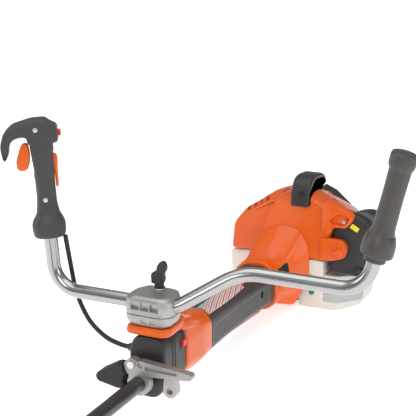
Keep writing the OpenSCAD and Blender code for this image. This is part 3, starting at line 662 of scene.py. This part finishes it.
# %% Handlebar
BAR_RADIUS = 12.7
BAR_HEIGHT = 131.0
BEND_RADII = np.array([50.0, 34.0, 100.0, 56.0])
right_corner = np.array([-199.0, 0, BAR_HEIGHT])
left_corner = np.array([374.0, 55, BAR_HEIGHT + 63])
right_lean = unit((-0.082, -0.014, 1))
left_lean = unit((0.222, 0.062, 1))
bar_line = np.array([right_corner + right_lean * 215, right_corner, (45, 0, BAR_HEIGHT),
                     (146, 55, BAR_HEIGHT + 63), left_corner, left_corner + left_lean * 236])


def with_bends(points, radii, steps=12):
    """Line through points with an arc at each inner corner. The arc's centre lies on the corner's
    bisector, radius / cos(turn / 2) away, and its points are centre + r (e0 sin((1-s) turn) +
    e1 sin(s turn)) / sin(turn), where e0 and e1 point to the two touching points."""
    radius = radii[:, None]
    a = unit(points[:-2] - points[1:-1])
    c = unit(points[2:] - points[1:-1])
    turn = np.arccos(-np.sum(a * c, 1))[:, None]
    centre = points[1:-1] + unit(a + c) * radius / np.cos(turn / 2)
    e0 = unit(points[1:-1] + a * radius * np.tan(turn / 2) - centre)[:, None]
    e1 = unit(points[1:-1] + c * radius * np.tan(turn / 2) - centre)[:, None]
    s = np.linspace(0, 1, steps)[None, :, None]
    turn, radius = turn[:, None], radius[:, None]
    arcs = centre[:, None] + radius * (e0 * np.sin((1 - s) * turn)
                                       + e1 * np.sin(s * turn)) / np.sin(turn)
    return np.concatenate([points[:1], arcs.reshape(-1, 3), points[-1:]])


bar = swept(with_bends(bar_line, BEND_RADII), BAR_RADIUS, 48)
piece("bar", [bar], "handlebar_set", "bar_aluminium", stands_for=["handlebar"])

# %% [markdown]
# The clamp is cast in two halves. The upper half reaches down over the bar and has a panel in
# front with three pockets that get deeper downwards, and its top is drawn in like a dome. The
# lower half has two small slots. Both are the same plan outline carried upwards.

# %% Handlebar clamp
CLAMP_PLAN = np.array([(-34, -31), (34, -31), (46, -17), (46, 18), (31, 46), (-31, 46),
                       (-46, 18), (-46, -17)], float)
CLAMP_TOP = BAR_HEIGHT + 20


def clamp_outline(share, reach=8):
    """The clamp's plan drawn in to a share of its size."""
    return outline(CLAMP_PLAN * share, reach, 6, 30)


upper = shell([(117.6, clamp_outline(1.0)), (BAR_HEIGHT + 8, clamp_outline(1.0)),
               (BAR_HEIGHT + 15, clamp_outline(0.96)), (CLAMP_TOP, clamp_outline(0.84))],
              1.2, 4.0, 44)
x, y, z = xyz(upper - (0, 0, BAR_HEIGHT))
front = ramp(-y, 20, 24)
pockets = sum(bump_at(x, middle, 6.8, 0.8) for middle in (-19, 0, 19))
upper = pressed(upper, front * ((6 - 0.3 * z) * pockets * bump_at(z, 5, 7, 1.2)
                                - 2.2 * bump_at(x, 0, 29, 1.5) * bump_at(z, 4.5, 10.5, 1.5)))
lower = shell([(95.6, clamp_outline(0.80)), (100, clamp_outline(0.91)), (108, clamp_outline(0.99)),
               (116.8, clamp_outline(1.0))], 2.0, 1.2, 24)
x, y, z = xyz(lower)
slots = bump_at(x, -4, 4, 1.2) + bump_at(x, 14, 4, 1.2)
lower = pressed(lower, 3.0 * ramp(-y, 18, 22) * slots * bump_at(z, 105, 3.4, 1.2))
piece("clamp_cap", [upper], "swivel_clamp", "cast_aluminium", stands_for=["clamp_upper"])
piece("clamp_base", [lower], "swivel_clamp", "cast_aluminium", stands_for=["clamp_lower"])

# %% [markdown]
# The wing screw holds the clamp down. Its black knob has a low wing and a tall one with a notch
# between them, over a round neck and a bright washer.

# %% Wing screw
KNOB_FOOT = CLAMP_TOP + 2.3


def on_screw(grid):
    """Local points moved to the foot of the knob."""
    return grid + (0, SWIVEL_BACK, KNOB_FOOT)


wings = [(-14, 7), (-15, 25), (-9, 30), (-4, 30), (-3, 41), (4, 50), (10, 50), (15, 44),
         (15, 34), (10, 28), (12, 16), (8, 7)]
knob = on_screw(along_y(slab(wings, (-6.5, 6.5), 4, (3, 3), 6)))
neck = on_screw(turned([(8, 0), (9, 1), (9, 12), (7, 14), (4, 15)], 32))
washer = on_screw(turned([(4, -2), (11.4, -2), (12, -1.4), (12, -0.4), (11.4, 0.1), (4, 0.1)], 40))
bolt = on_screw(turned([(3.6, -85), (4, -84), (4, 1)], 24))
piece("wing_knob", [knob, neck, solid(washer, 1), solid(bolt, 1)], "clamp_screw",
      "black_plastic", [finish_of["black_plastic"], finish_of["steel_zinc"]], ["wing_screw"])

# %% [markdown]
# Under the clamp sits an orange saddle that runs back into a faceted collar round the tube. The
# collar swells from its front edge and has a hollow on top, where the saddle's arm meets it.

# %% Handle bracket
def eight(left, right, top, bottom, shoulder_x, shoulder_z, foot_x, foot_z):
    """Corners of a casing section: flat top and bottom, upright sides, slanted corners."""
    return np.array([(left, foot_z), (left, shoulder_z), (left + shoulder_x, top),
                     (right - shoulder_x, top), (right, shoulder_z), (right, foot_z),
                     (right - foot_x, bottom), (left + foot_x, bottom)], float)


def casing(rows, reach, arc, edge, rounding, steps):
    """Shell along y through casing sections, each a row of y and the eight sizes."""
    return along_y(shell([(at, outline(eight(*sizes), reach, arc, edge)) for at, *sizes in rows],
                         *rounding, steps))


collar = casing([(63, -36, 38, 77, -34, 8, 40, 20, -6), (95, -38, 40, 76, -34, 10, 44, 20, -8),
                 (130, -40, 42, 71, -33, 15, 46, 20, -10),
                 (165.5, -39, 40, 67, -31, 17, 45, 20, -9)], 9, 5, 14, (4, 2.5), 40)
x, y, z = xyz(collar)
hollow = np.clip(1 - ((x - 12) / 17) ** 2 - ((y - 112) / 24) ** 2, 0, 1) * ramp(z, 40, 55)
collar = pressed(collar, 9 * hollow**0.7)
saddle_plan = np.array([(-41, -29), (30, -30), (43, -17), (43, 30), (33, 62), (-30, 62),
                        (-41, 30)])
saddle = shell([(78.6, outline(saddle_plan * 0.95, 9)), (84, outline(saddle_plan, 9)),
                (91, outline(saddle_plan * 0.99, 9)), (94.8, outline(saddle_plan * 0.96, 9))],
               2.5, 2, 12)
arm = along_y(shell([(40, outline([(-30, 70), (-30, 84), (34, 86), (40, 72)], 5)),
                     (70, outline([(-30, 62), (-28, 82), (32, 82), (40, 64)], 5)),
                     (110, outline([(-26, 52), (-22, 74), (26, 74), (34, 56)], 5))], 2, 2, 10))
piece("bracket", [collar, saddle, arm], body_of("handle_bracket"), "orange_shell",
      stands_for=["handle_bracket"])

# %% [markdown]
# The black support in front of the collar wraps the tube, takes the throttle cable in on its
# side, and has shallow rings round its neck. A red catch shows on its flank.

# %% Handle support
support = casing([(-30, -34, 37, 77, -38, 12, 56, 18, -14), (20, -34, 37, 77, -38, 12, 56, 18, -14),
                  (62, -32, 35, 77, -34, 12, 56, 18, -12)], 12, 6, 8, (7, 2), 60)
x, y, z = xyz(support)
support = pressed(support, 1.6 * (bump_at(y, 4, 1.4, 1) + bump_at(y, 14, 1.4, 1))
                  + 2.0 * ramp(y, 24, 27) * ramp(z, 30, 40) * bump_at(y, 40, 14, 2))
socket = swept(np.array([(-46, -5.5, 43.5), (-41, -6.5, 43.2), (-33, -8, 43)]),
               (6.6, 7.6, 7.8), 24)
catch = along_x(shell([(33, outline([(44, 34), (44, 50), (56, 54), (58, 40)], 3)),
                       (39, outline([(45, 35), (45, 49), (55, 53), (57, 41)], 3))], 1, 2, 4))
piece("support", [support, socket, solid(catch, 1)], body_of("handle_support"), "black_plastic",
      [finish_of["black_plastic"], finish_of["red_plastic"]], ["handle_support"])

# %% [markdown]
# The charcoal housing runs from the bracket back to the engine. It is flat sided with soft
# shoulders, a little waisted, with a light lower rim, a screw hole near the engine, its inside
# painted near-black as shade, and a step where it enters the orange nose.

# %% Anti-vibration housing
housing = casing([(166, -37, 38, 64, -28, 17, 44, 19, -8), (250, -37, 38, 63, -27, 17, 42, 19, -8),
                  (360, -39, 42, 62, -28, 18, 40, 20, -9),
                  (467, -45, 49, 61, -34, 21, 38, 24, -12)], 10, 6, 16, (3, 3), 110)
x, y, z = xyz(housing)
hole = np.clip(1 - ((y - 405) / 4.5) ** 2 - ((z - 20) / 9) ** 2, 0, 1) * ramp(x, 20, 30)
step = 1.8 * ramp(y, 442, 444)
flat = 1.2 * bump_at(z, 14, 14, 4) * ramp(abs(x), 25, 33) * bump_at(y, 300, 118, 6)
housing = pressed(housing, 7 * hole**0.5 + step + flat + 1.2 * bump_at(y, 169, 1.2, 1))
# The hole's faces take the near-black finish: painted shade in the hole.
housing_finish = np.where((hole > 0.15)[:-1], 1, 0)
rims = [swept(curve([(s * 20, 170, -28.4), (s * 19, 300, -28.6), (s * 24, 440, -33.6)], 12),
              1.3, 10) for s in (-1, 1)]
piece("housing", [solid(housing, housing_finish)] + [solid(rim, 2) for rim in rims],
      body_of("av_housing"), "charcoal_plastic",
      [finish_of["charcoal_plastic"], recess_shade_paint, finish_of["steel_zinc"]], ["av_housing"])


def strip_section(left, right, top):
    """Section of the strip, 3 mm thick, whose top follows the round shoulder of the housing: past
    x = 11 it falls by 0.028 (x - 11)^2."""
    x = np.linspace(left, right, 9)
    z = top - 0.028 * np.clip(x - 11, 0, None) ** 2
    return np.concatenate([np.stack([x, z], -1), np.stack([x, z - 3], -1)[::-1]])


strip = along_y(shell([(172, strip_section(5, 29, 65.4)), (300, strip_section(6, 30, 64.6)),
                       (402, strip_section(9, 29, 63.8))], 0.3, 0.3, 16))
piece("strip", [strip], body_of("stripe_band"), "stripe_print", stands_for=["stripe_band"])

# %% [markdown]
# The engine's nose is a bell: narrow where the tube enters and flaring into the tall arch of the
# hood. The sections swell slowly at first, so the sides are hollow like a horn. A gap opens on
# the left flank under the arch, with its floor painted near-black as shade.

# %% Fan housing
NOSE_FRONT = np.array([(-46, -16), (-46, 40), (-24, 64), (28, 66), (52, 38), (52, -16),
                       (26, -38), (-20, -38)], float)
NOSE_REAR = np.array([(-46, -28), (-44, 60), (-14, 116), (24, 128), (66, 124), (91, 80),
                      (91, 14), (56, -57)], float)
bell = [(468, 0.0), (490, 0.10), (515, 0.36), (538, 0.74), (555.5, 1.0)]
nose = along_y(shell([(y, outline(NOSE_FRONT * (1 - s) + NOSE_REAR * s, 14, 6, 20))
                      for y, s in bell], 3, 2, 50))
x, y, z = xyz(nose)
gap = ramp(x, 42, 48) * bump_at(z - (y - 500) * 0.35, 38, 15, 3) * bump_at(y, 490, 20, 5)
nose = pressed(nose, 7 * gap)
lip = along_y(shell([(462, outline(NOSE_FRONT * 1.02, 14, 6, 8)),
                     (474, outline(NOSE_FRONT * 1.05, 14, 6, 8))], 3, 3, 6))
# Where the gap is pressed deepest its faces take the near-black finish: painted shade.
piece("nose", [solid(nose, np.where((gap > 0.4)[:-1], 1, 0)), lip], body_of("fan_housing"),
      "orange_shell", [finish_of["orange_shell"], recess_shade_paint], ["fan_housing"])

# %% [markdown]
# The hood covers the cylinder. Its front face stands round the nose, and it falls away to the
# rear. On the left a plate reaches over the filter cover. It has a pocket with a sunken screw and
# a floor painted dark red as shade, and lower down a lobe stands round the filter knob.

# %% Engine hood
HOOD = np.array([(-30, 58), (-22, 110), (-12, 148), (12, 190), (84, 201), (118, 186),
                 (146, 169), (148, 150), (130, 98), (128, 56)], float)
hood = along_y(shell(lowered(HOOD, (50.0, 56.0), 56, [
    (556, 0.95, 1), (572, 0.99, 1), (600, 1, 1), (640, 1, 0.93), (700, 0.97, 0.78),
    (742, 0.92, 0.66)], 16, 6, 24), 5, 8, 90))
x, y, z = xyz(hood)
ridge = bump_at(x - 100 + (z - 150) * 0.25, 0, 1.5, 5) * ramp(z, 120, 150)
hood = pressed(hood, -2.2 * ridge)


def dished(rim, pocket, back_y, front_y, floor_y):
    """Plate along y with a pocket in its front: the rim's outline at the back and front, then
    the pocket's outline, sampled at the same angles about its middle, at the front and floor."""
    middle = pocket.mean(0)
    turn_of = [np.arctan2(*(ring - middle).T[::-1]) for ring in (rim, pocket)]
    order = np.argsort(turn_of[1])
    inner = np.stack([np.interp(turn_of[0], turn_of[1][order], pocket[order, i],
                                period=2 * np.pi) for i in (0, 1)], -1)
    drawn = rim - outward(rim[None])[0] * 2.2
    floor_ring = middle + (inner - middle) * 0.86
    rings = [(rim, back_y), (rim, front_y + 2.2), (rim - outward(rim[None])[0] * 0.7, front_y + 0.6),
             (drawn, front_y), (inner, front_y), (middle + (inner - middle) * 0.96, front_y + 0.8),
             (floor_ring, floor_y)]
    return np.stack([np.stack([ring[:, 0], 0 * ring[:, 0] + y, ring[:, 1]], -1)
                     for ring, y in rings])


EAR = [(118, 122), (118, 190), (156, 182), (187, 168), (186, 156), (171, 137), (145, 137),
       (136, 121)]
POCKET = [(133, 149), (154, 170), (180, 160), (169, 142), (141, 142)]
ear = dished(outline(EAR, 6, 5, 12), outline(POCKET, 5, 5, 8), 561.4, 549, 560)
SHOULDER = [(116, 140), (116, 189), (144, 175), (172, 160), (172, 148), (146, 138)]
shoulder = along_y(slab(SHOULDER, (556, 606), 5, (2, 9), 16))
pocket_screw = along_y(turned([(1.5, 554.6), (4.4, 554.8), (4.9, 556), (4.9, 560)], 20))
pocket_screw = pocket_screw + (164, 0, 149)
LOBE = [(112, 61), (112, 110), (140, 111), (164, 110), (175, 98), (174, 82), (158, 66), (136, 60)]
lobe = along_y(slab(LOBE, (548, 561.4), 10, (4, 1), 6, 6, 6))
KNOB_CENTRE = (156, 0, 87)
knob_ring = along_y(turned([(18, 546.9), (19.2, 547.1), (19.6, 549), (16.4, 549), (16.4, 547.1),
                            (18, 546.9)], 48)) + KNOB_CENTRE
# A near-black ring behind the knob's rim: painted shadow in the gap round the knob.
knob_painted_shadow = along_y(turned([(3, 547.4), (16.4, 547.4), (16.5, 549)], 40)) + KNOB_CENTRE
ear_solid = solid(ear)
# The pocket's floor takes the darker red-orange: painted shade.
ear_solid[2][-1] = 1  # the last face is the pocket's floor
piece("hood", [hood, ear_solid, shoulder, lobe, solid(pocket_screw, 2), solid(knob_painted_shadow, 3),
               knob_ring], body_of("engine_hood"), "orange_shell",
      [finish_of["orange_shell"], slot_shade_paint, finish_of["steel_zinc"], recess_shade_paint], ["engine_hood"])

# %% [markdown]
# The muffler cover is the other side of the hood. It slopes down to the right, stays a little
# behind the hood's front edge, and lets heat out through four slanted slots, whose floors are
# painted dark red as shade.

# %% Muffler cover
MUFFLER = np.array([(-20, 50), (-102, 46), (-97, 112), (-82, 136), (-48, 158), (-14, 182),
                    (14, 192), (-4, 150)], float)
muffler = along_y(shell(lowered(MUFFLER, (-10.0, 90.0), 90, [
    (574, 0.98, 0.88), (586, 0.99, 0.93), (604, 1, 1), (640, 1, 1), (700, 0.97, 0.88),
    (740, 0.87, 0.74)], 9, 6, 44), 4, 5, 80))
x, y, z = xyz(muffler)
heat_slots = sum(bump_at(x + (y - 590) * 0.35, middle, 2.8, 0.9) for middle in (-66, -52, -38, -24))
heat_slots = heat_slots * ramp(z, 118, 124) * bump_at(y, 592, 12, 2)
patch = bump_at(x + (y - 600) * 0.2, -80, 5, 0.1) * ramp(z, 118, 122) * bump_at(y, 616, 7, 0.1)
muffler = pressed(muffler, 3.0 * heat_slots)
# The slots' floors take the darker red-orange, painted shade; the patch takes the yellow plate.
cover_finish = np.where(heat_slots > 0.5, 1, np.where(patch > 0.5, 2, 0))[:-1]
piece("muffler_shell", [solid(muffler, cover_finish)], body_of("muffler_cover"), "orange_shell",
      [finish_of["orange_shell"], slot_shade_paint, yellow_plate], ["muffler_cover"])

# %% [markdown]
# Inside the covers sit the muffler, a pressed can with a flanged seam, the black base of the
# air filter and the felt filter itself with its pleats.

# %% Muffler and filter
can = along_y(slab([(-96, 66), (-96, 120), (-56, 120), (-56, 66)], (586, 690), 18, (12, 12), 30,
                   6, 8))
can = pressed(can, -1.6 * bump_at(can[..., 1], 638, 1.0, 1.0))
piece("muffler_can", [can], body_of("muffler"), "hot_steel", stands_for=["muffler"])
base = along_x(slab([(580, 26), (580, 138), (640, 142), (700, 128), (726, 104), (726, 26)],
                    (128.6, 133.4), 6, (0.8, 0.8), 3))
intake = along_x(turned([(9, 100), (12, 100), (12, 129), (9, 129), (9, 100)], 32)) + (0, 618, 91)
piece("filter_plate", [base, intake], body_of("filter_base"), "black_plastic",
      stands_for=["filter_base"])
felt = along_y(slab([(142, 68), (142, 134), (188, 134), (188, 68)], (602, 697), 9, (5, 5), 120,
                    5, 30))
x, y, z = xyz(felt)
felt = pressed(felt, 1.6 * bump_at(y % 6, 3, 0.6, 1.8) * bump_at(y, 650, 38, 6))
piece("felt_filter", [felt], body_of("air_filter"), "filter_felt", stands_for=["air_filter"])

# %% [markdown]
# A black arch stands over the hood, to lift the machine by. It is one bent bar: a front leg with
# a screw hole, a top run and a rear leg. Its profile is seen from the side and carried across.

# %% Lifting arch
ARCH = [(544, 174), (548, 200), (555, 222), (570, 233.5), (590, 235), (632, 231), (651, 221),
        (659, 203), (645, 203), (634, 217), (590, 222), (576, 218), (568, 206), (556, 204),
        (555.5, 174)]
arch = along_x(slab(ARCH, (47, 89), 7, (5, 5), 10, 4, 4))
# The hole's floor takes the near-black finish: painted shade.
leg_hole = along_y(turned([(3, 548.6), (6.4, 546.4), (6.8, 546.9), (6.8, 550)], 24)) + (70, 0, 201)
piece("arch", [arch, solid(leg_hole, 1)], body_of("hood_arch"), "black_plastic",
      [finish_of["black_plastic"], recess_shade_paint], ["hood_arch"], 40)

# %% [markdown]
# Cream panels close the engine's lower sides, and the cream tank hangs under it on the left. The
# tank's front corner is cut back, with a clear window in it to see the fuel, and its bottom is
# flat where it stands on the ground.

# %% Panels and tank
LEFT_PANEL = [(-105, -18), (-110, 43), (-60, 49), (-30, 49), (-30, -18)]
left_panel = along_y(slab(LEFT_PANEL, (586, 738), 8, (5, 5), 12))
RIGHT_PANEL = [(86, 22), (84, 55), (120, 55), (120, 20)]
right_panel = along_y(slab(RIGHT_PANEL, (556, 738), 5, (3, 5), 12))
piece("panels", [left_panel, right_panel], body_of("side_cowl"), "cream_plastic",
      stands_for=["side_cowl"])

TANK_TOP = np.array([(54, 575), (148, 575), (192, 624), (194, 690), (168, 742), (54, 742)],
                    float)
TANK_LOW = np.array([(62, 577), (142, 577), (172, 622), (174, 690), (156, 739), (62, 739)],
                    float)
tank_rows = [(-78, 0.0), (-62, 0.45), (-40, 0.85), (-20, 1.0), (8, 1.0), (19, 0.97)]
tank = shell([(z, outline(TANK_LOW * (1 - s) + TANK_TOP * s, 12, 6, 36)) for z, s in tank_rows],
             2, 3, 60)
x, y, z = xyz(tank)
window = (bump_at(z, -22, 20, 1.0) * ramp(x, 112, 113.5) * ramp(194 - x, 0, 1.5)
          * ramp(628 - y, 0, 2))
tank = pressed(tank, 1.6 * window + 0.8 * bump_at(z, 6, 0.8, 0.8))
tank_finish = np.where((window > 0.5)[:-1], 1, 0)
dot = along_y(turned([(2, 569.2), (5, 569.6), (6, 572), (6, 577)], 24)) + (90, 0, -24)
piece("tank", [solid(tank, tank_finish), solid(dot, 2)], body_of("fuel_tank"),
      "cream_plastic", [finish_of["cream_plastic"], tank_window, green_plastic], ["fuel_tank"],
      on_ground=True)

# %% [markdown]
# The black filter cover closes the left side. Its knob turns a quarter to free it, a yellow plate
# marks it, and the primer bulb sits in a round recess at its lower corner.

# %% Filter cover
COVER = np.array([(134, 26), (134, 60), (139, 100), (139, 150), (162, 163), (187, 168),
                  (215, 155), (224, 140), (221, 60), (204, 26)], float)
cover = along_y(shell(lowered(COVER, (180.0, 105.0), 26, [
    (562, 0.95, 1), (576, 0.995, 1), (600, 1, 0.96), (650, 0.96, 0.87), (704, 0.93, 0.84),
    (734, 0.88, 0.70)], 10, 6, 26), 5, 4, 70))
SCOOP = [(70, 120), (70, 188), (98, 176), (143, 137), (143, 120)]
scoop = along_y(slab(SCOOP, (656, 706), 5, (4, 4), 8))
x, y, z = xyz(cover)
recess = np.clip(1 - ((x - 196) / 14) ** 2 - ((z - 46) / 14) ** 2, 0, 1) * ramp(566.5 - y, 0, 3)
ribs = bump_at((z + x * 0.4) % 22, 11, 1.0, 1.5) * ramp(x, 205, 215) * bump_at(y, 650, 60, 8)
cover = pressed(cover, 5 * recess**0.5 + 1.2 * ribs)
PLATE = [(182, 146.7), (197.6, 137.5), (192.3, 128.4), (175.7, 137.5)]
plate = along_y(slab(PLATE, (560.6, 563.5), 1.5, (0.4, 0.1), 3))
piece("scoop", [scoop], body_of("engine_hood"), "black_plastic", stands_for=["engine_hood"])
piece("cover_shell", [cover, solid(plate, 1)], "cover", "black_plastic",
      [finish_of["black_plastic"], yellow_plate], ["filter_cover"])
knob = along_y(turned([(6, 543.5), (11.4, 544), (13, 546), (13.4, 557.8), (3, 557.9)], 48))
knob = knob + KNOB_CENTRE
BLADE = [(-11, -3.2), (-11, 3.2), (11, 3.8), (11, -3.8)]
blade = along_y(slab(BLADE, (538.6, 547), 2, (1.8, 0.2), 4))
tilt = math.radians(32)
blade = np.stack([blade[..., 0] * math.cos(tilt) - blade[..., 2] * math.sin(tilt),
                  blade[..., 1],
                  blade[..., 0] * math.sin(tilt) + blade[..., 2] * math.cos(tilt)], -1)
piece("knob", [knob, blade + KNOB_CENTRE], "cover_lock", "orange_shell",
      stands_for=["filter_knob"])
bulb = along_y(turned([(0.1, 557.2), (4, 557.8), (7, 560), (8, 563.5), (8, 568), (10.6, 568.4),
                       (10.8, 571.5), (0.1, 571.8)], 32)) + (196, 0, 46)
piece("primer_dome", [bulb], "primer", "black_rubber", stands_for=["primer_bulb"])

# %% [markdown]
# The throttle handle is moulded in two halves over the bar's right end. Below is a flared
# collar, then a waisted grip, and on top a head with a long hook that keeps the hand from
# sliding off. The grip is round, so it is a stack of ellipses; the head is flat, so it is an
# outline carried from one side to the other.

# %% Throttle handle
control_axes = local_axes(right_lean, (-0.88, -0.475, 0))
control_foot = right_corner + right_lean * 105


def on_control(grid):
    """Handle points: x towards the hook, z up the bar."""
    return control_foot + grid @ control_axes


stalk = shell([(-5, ellipse(0, 0, 28, 25, 56, 0.8)), (6, ellipse(0, 0, 30, 26, 56, 0.8)),
               (24, ellipse(0, 0, 29, 25, 56, 0.8)), (38, ellipse(-1, 0, 22, 19.5, 56, 0.9)),
               (50, ellipse(-1, 0, 19.5, 17.5, 56, 0.9)), (90, ellipse(-2, 0, 18, 17, 56, 0.9)),
               (130, ellipse(-2, 0, 20, 17.2, 56, 0.85)),
               (168, ellipse(-2, 0, 22, 16.5, 56, 0.7)),
               (196, ellipse(-3, 0, 22, 15, 56, 0.7))], 4, 4, 60)
x, y, z = xyz(stalk)
seam = bump_at(abs(y), 0, 0.6, 0.9)
stalk_finish = np.zeros(stalk.shape[:2], int)
lever_slot = ramp(-x, 12, 15) * bump_at(y, 0, 5.0, 1.2) * bump_at(z, 114, 34, 2)
trigger_slot = ramp(x, 8, 11) * bump_at(y, 0, 8.2, 1.2) * bump_at(z, 147, 30, 3)
stalk = pressed(stalk, 0.8 * seam * ramp(z, 38, 44) * (1 - lever_slot) * (1 - trigger_slot)
                + 4.0 * lever_slot + 17 * trigger_slot)
HEAD = [(-34, 168), (-34, 199), (-22, 205), (-13, 213), (12, 213), (46, 205), (62, 191),
        (70, 168), (68, 146), (64, 140), (57, 150), (54, 168), (47, 178), (34, 182), (22, 181),
        (20, 166)]
head = along_y(slab(HEAD, (-16.5, 16.5), 7, (5, 5), 12))
cap_screws = [turned([(2.0, 0.0), (4.2, 0.2), (4.4, 1.6)], 20)[..., [0, 2, 1]]
              * (1, s, 1) + (at_x, -s * 18.2 if at_z < 100 else -s * 17.4, at_z)
              for s in (1, -1) for at_x, at_z in ((4, 194), (0, 66))]
piece("control", [on_control(stalk), on_control(head)] + [solid(on_control(g), 1)
                                                          for g in cap_screws],
      "handlebar_set", "charcoal_plastic",
      [finish_of["charcoal_plastic"], finish_of["steel_zinc"]], ["control_shells"])

TRIGGER = [(21, 168), (28, 170), (34, 166), (45, 138), (45, 124), (38, 119), (27, 121),
           (22, 130), (19, 150)]
trigger = along_y(slab(TRIGGER, (-7, 7), 5, (3, 3), 10))
piece("trigger_lever", [on_control(trigger)], "trigger", "orange_shell",
      stands_for=["throttle_trigger"])
LEVER = [(-21, 84), (-26, 88), (-27, 118), (-29, 140), (-26, 147), (-20.5, 146), (-17, 138),
         (-17, 126), (-20.5, 120)]
lever = along_y(slab(LEVER, (-4, 4), 2.5, (1.5, 1.5), 8))
piece("lockout_lever", [on_control(lever)], "lockout", "orange_shell",
      stands_for=["throttle_lockout"])
button = along_x(slab([(-3.6, 178), (-3.6, 190), (3.6, 190), (3.6, 178)], (-39.5, -26), 1.6,
                      (1.5, 0.5), 5))
piece("stop_slider", [on_control(button)], "stop_button", "red_plastic",
      stands_for=["stop_switch"])

# %% [markdown]
# The other grip is plain. It has the same flared collar, a long shaft that narrows a little to
# the middle, and a wider cap at the top, so the hand can't slip off either end.

# %% Left hand grip
grip_axes = local_axes(left_lean, (1, 0, 0))
grip_foot = left_corner + left_lean * 66
profile = curve([(13.2, -10), (18.5, -9.5), (19, -6), (19, 0), (24, 0.6), (28, 3), (28.6, 12), (28, 24),
                 (25.5, 34), (21.5, 42), (19.6, 52), (19, 76), (18.6, 104), (19, 132),
                 (19.4, 150), (20.6, 155), (22.6, 160), (23, 170), (22.4, 178), (19, 182),
                 (8, 183)], 4)
grip = turned(profile, 56)
x, y, z = xyz(grip)
angle = np.arctan2(y, x)
flutes = bump_at((np.degrees(angle) % 60), 30, 4, 6) * bump_at(z, 105, 46, 6)
grip = pressed(grip, 0.5 * flutes + 0.9 * bump_at(z, 40, 0.8, 1.2))
piece("plain_grip", [grip_foot + grip @ grip_axes], "handlebar_set", "charcoal_plastic",
      [grip_plastic], ["left_hand_grip"])

# %% [markdown]
# The throttle cable leaves the handle's collar, hangs in a loop beside the bar and goes into the
# support. On the machine it is held at both ends and bends when the handlebar swivels, as the bar
# turns in the clamp and the clamp turns on the machine. Here it is made in two lengths that meet
# in mid-loop, and neither is tied to a body, so they stay put.

# %% Throttle cable
CABLE_ROUTE = [(-184, 12, 230), (-183, 18, 200), (-181, 24, 165), (-177, 28, 130),
               (-165, 26, 98), (-140, 18, 68), (-104, 6, 50), (-70, -3, 44), (-35, -8, 43)]


def cord(name, line, radius, slot, node):
    """Round cord swept along a line; it is tied to no body, so it does not bend or stretch."""
    mesh = bpy.data.meshes.new(name)
    points, faces, numbers = solid(swept(line, radius, 20))
    fill_mesh(mesh, [(place(points), faces, numbers)])
    thing = add_object(name, mesh)
    mesh.materials.append(finish_of[slot])
    mesh.polygons.foreach_set("use_smooth", np.ones(len(mesh.polygons), bool))
    place(line[0])
    place(line[-1])
    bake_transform(thing)
    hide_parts(node)
    print(name, "rows", len(line))


line = curve(CABLE_ROUTE, 30)
middle = len(line) // 2
ribbed = 4.3 + 0.25 * np.cos(np.pi * np.arange(len(line)))
cord("cable_upper", line[:middle + 1], ribbed[:middle + 1],
     "black_rubber", "throttle_cable")
cord("cable_lower", line[middle:], ribbed[middle:],
     "black_rubber", "throttle_cable")

# %% [markdown]
# The starter's rope runs from its pulley up into the grip. On the machine one end stays in the
# housing and the other follows the grip; here the rope is one straight length tied to no body.

# %% Starter rope
ROPE = (29.5, 759.0)
rope_line = np.stack([np.full(40, ROPE[0]), np.full(40, ROPE[1]), np.linspace(8, 85, 40)], -1)
cord("pull_rope", rope_line, 1.4,
     "rope_cord", "starter_rope")

# %% [markdown]
# The rest of what shows has simple turned and sawn shapes that the CAD model already has right,
# but with knife edges that no casting or moulding has. A merged copy of each, with its flat
# faces joined again and a small bevel on every sharp edge, catches the light as the real one does.

# %% Softened copies
def softened(node, width, name, crease=30):
    """Copy of a CAD node with doubled points merged, flat faces rejoined and edges bevelled."""
    thing = add_object(name, nodes[node].data.copy())
    work = bmesh.new()
    work.from_mesh(thing.data)
    bmesh.ops.remove_doubles(work, verts=work.verts, dist=1e-5)
    bmesh.ops.dissolve_limit(work, angle_limit=math.radians(1), verts=work.verts,
                             edges=work.edges)
    work.to_mesh(thing.data)
    work.free()
    bevel = thing.modifiers.new("edges", "BEVEL")
    bevel.width = width * MM
    bevel.segments = 2
    bevel.limit_method = "ANGLE"
    bevel.angle_limit = math.radians(crease)
    dress(thing, body_of(node), [], [node], crease)


edge_widths = {"harness_lug": 1.4, "rubber_rest": 3.0, "gear_housing": 1.5, "guard": 1.2,
               "head_housing": 1.8, "bump_knob": 2.0, "starter_housing": 2.5, "starter_grip": 1.5,
               "fuel_cap": 1.2, "stand": 2.0, "drive_tube": 0.6, "screws": 0.6}
for node, width in edge_widths.items():
    softened(node, width, node + "_soft")
print("softened copies:", len(edge_widths))
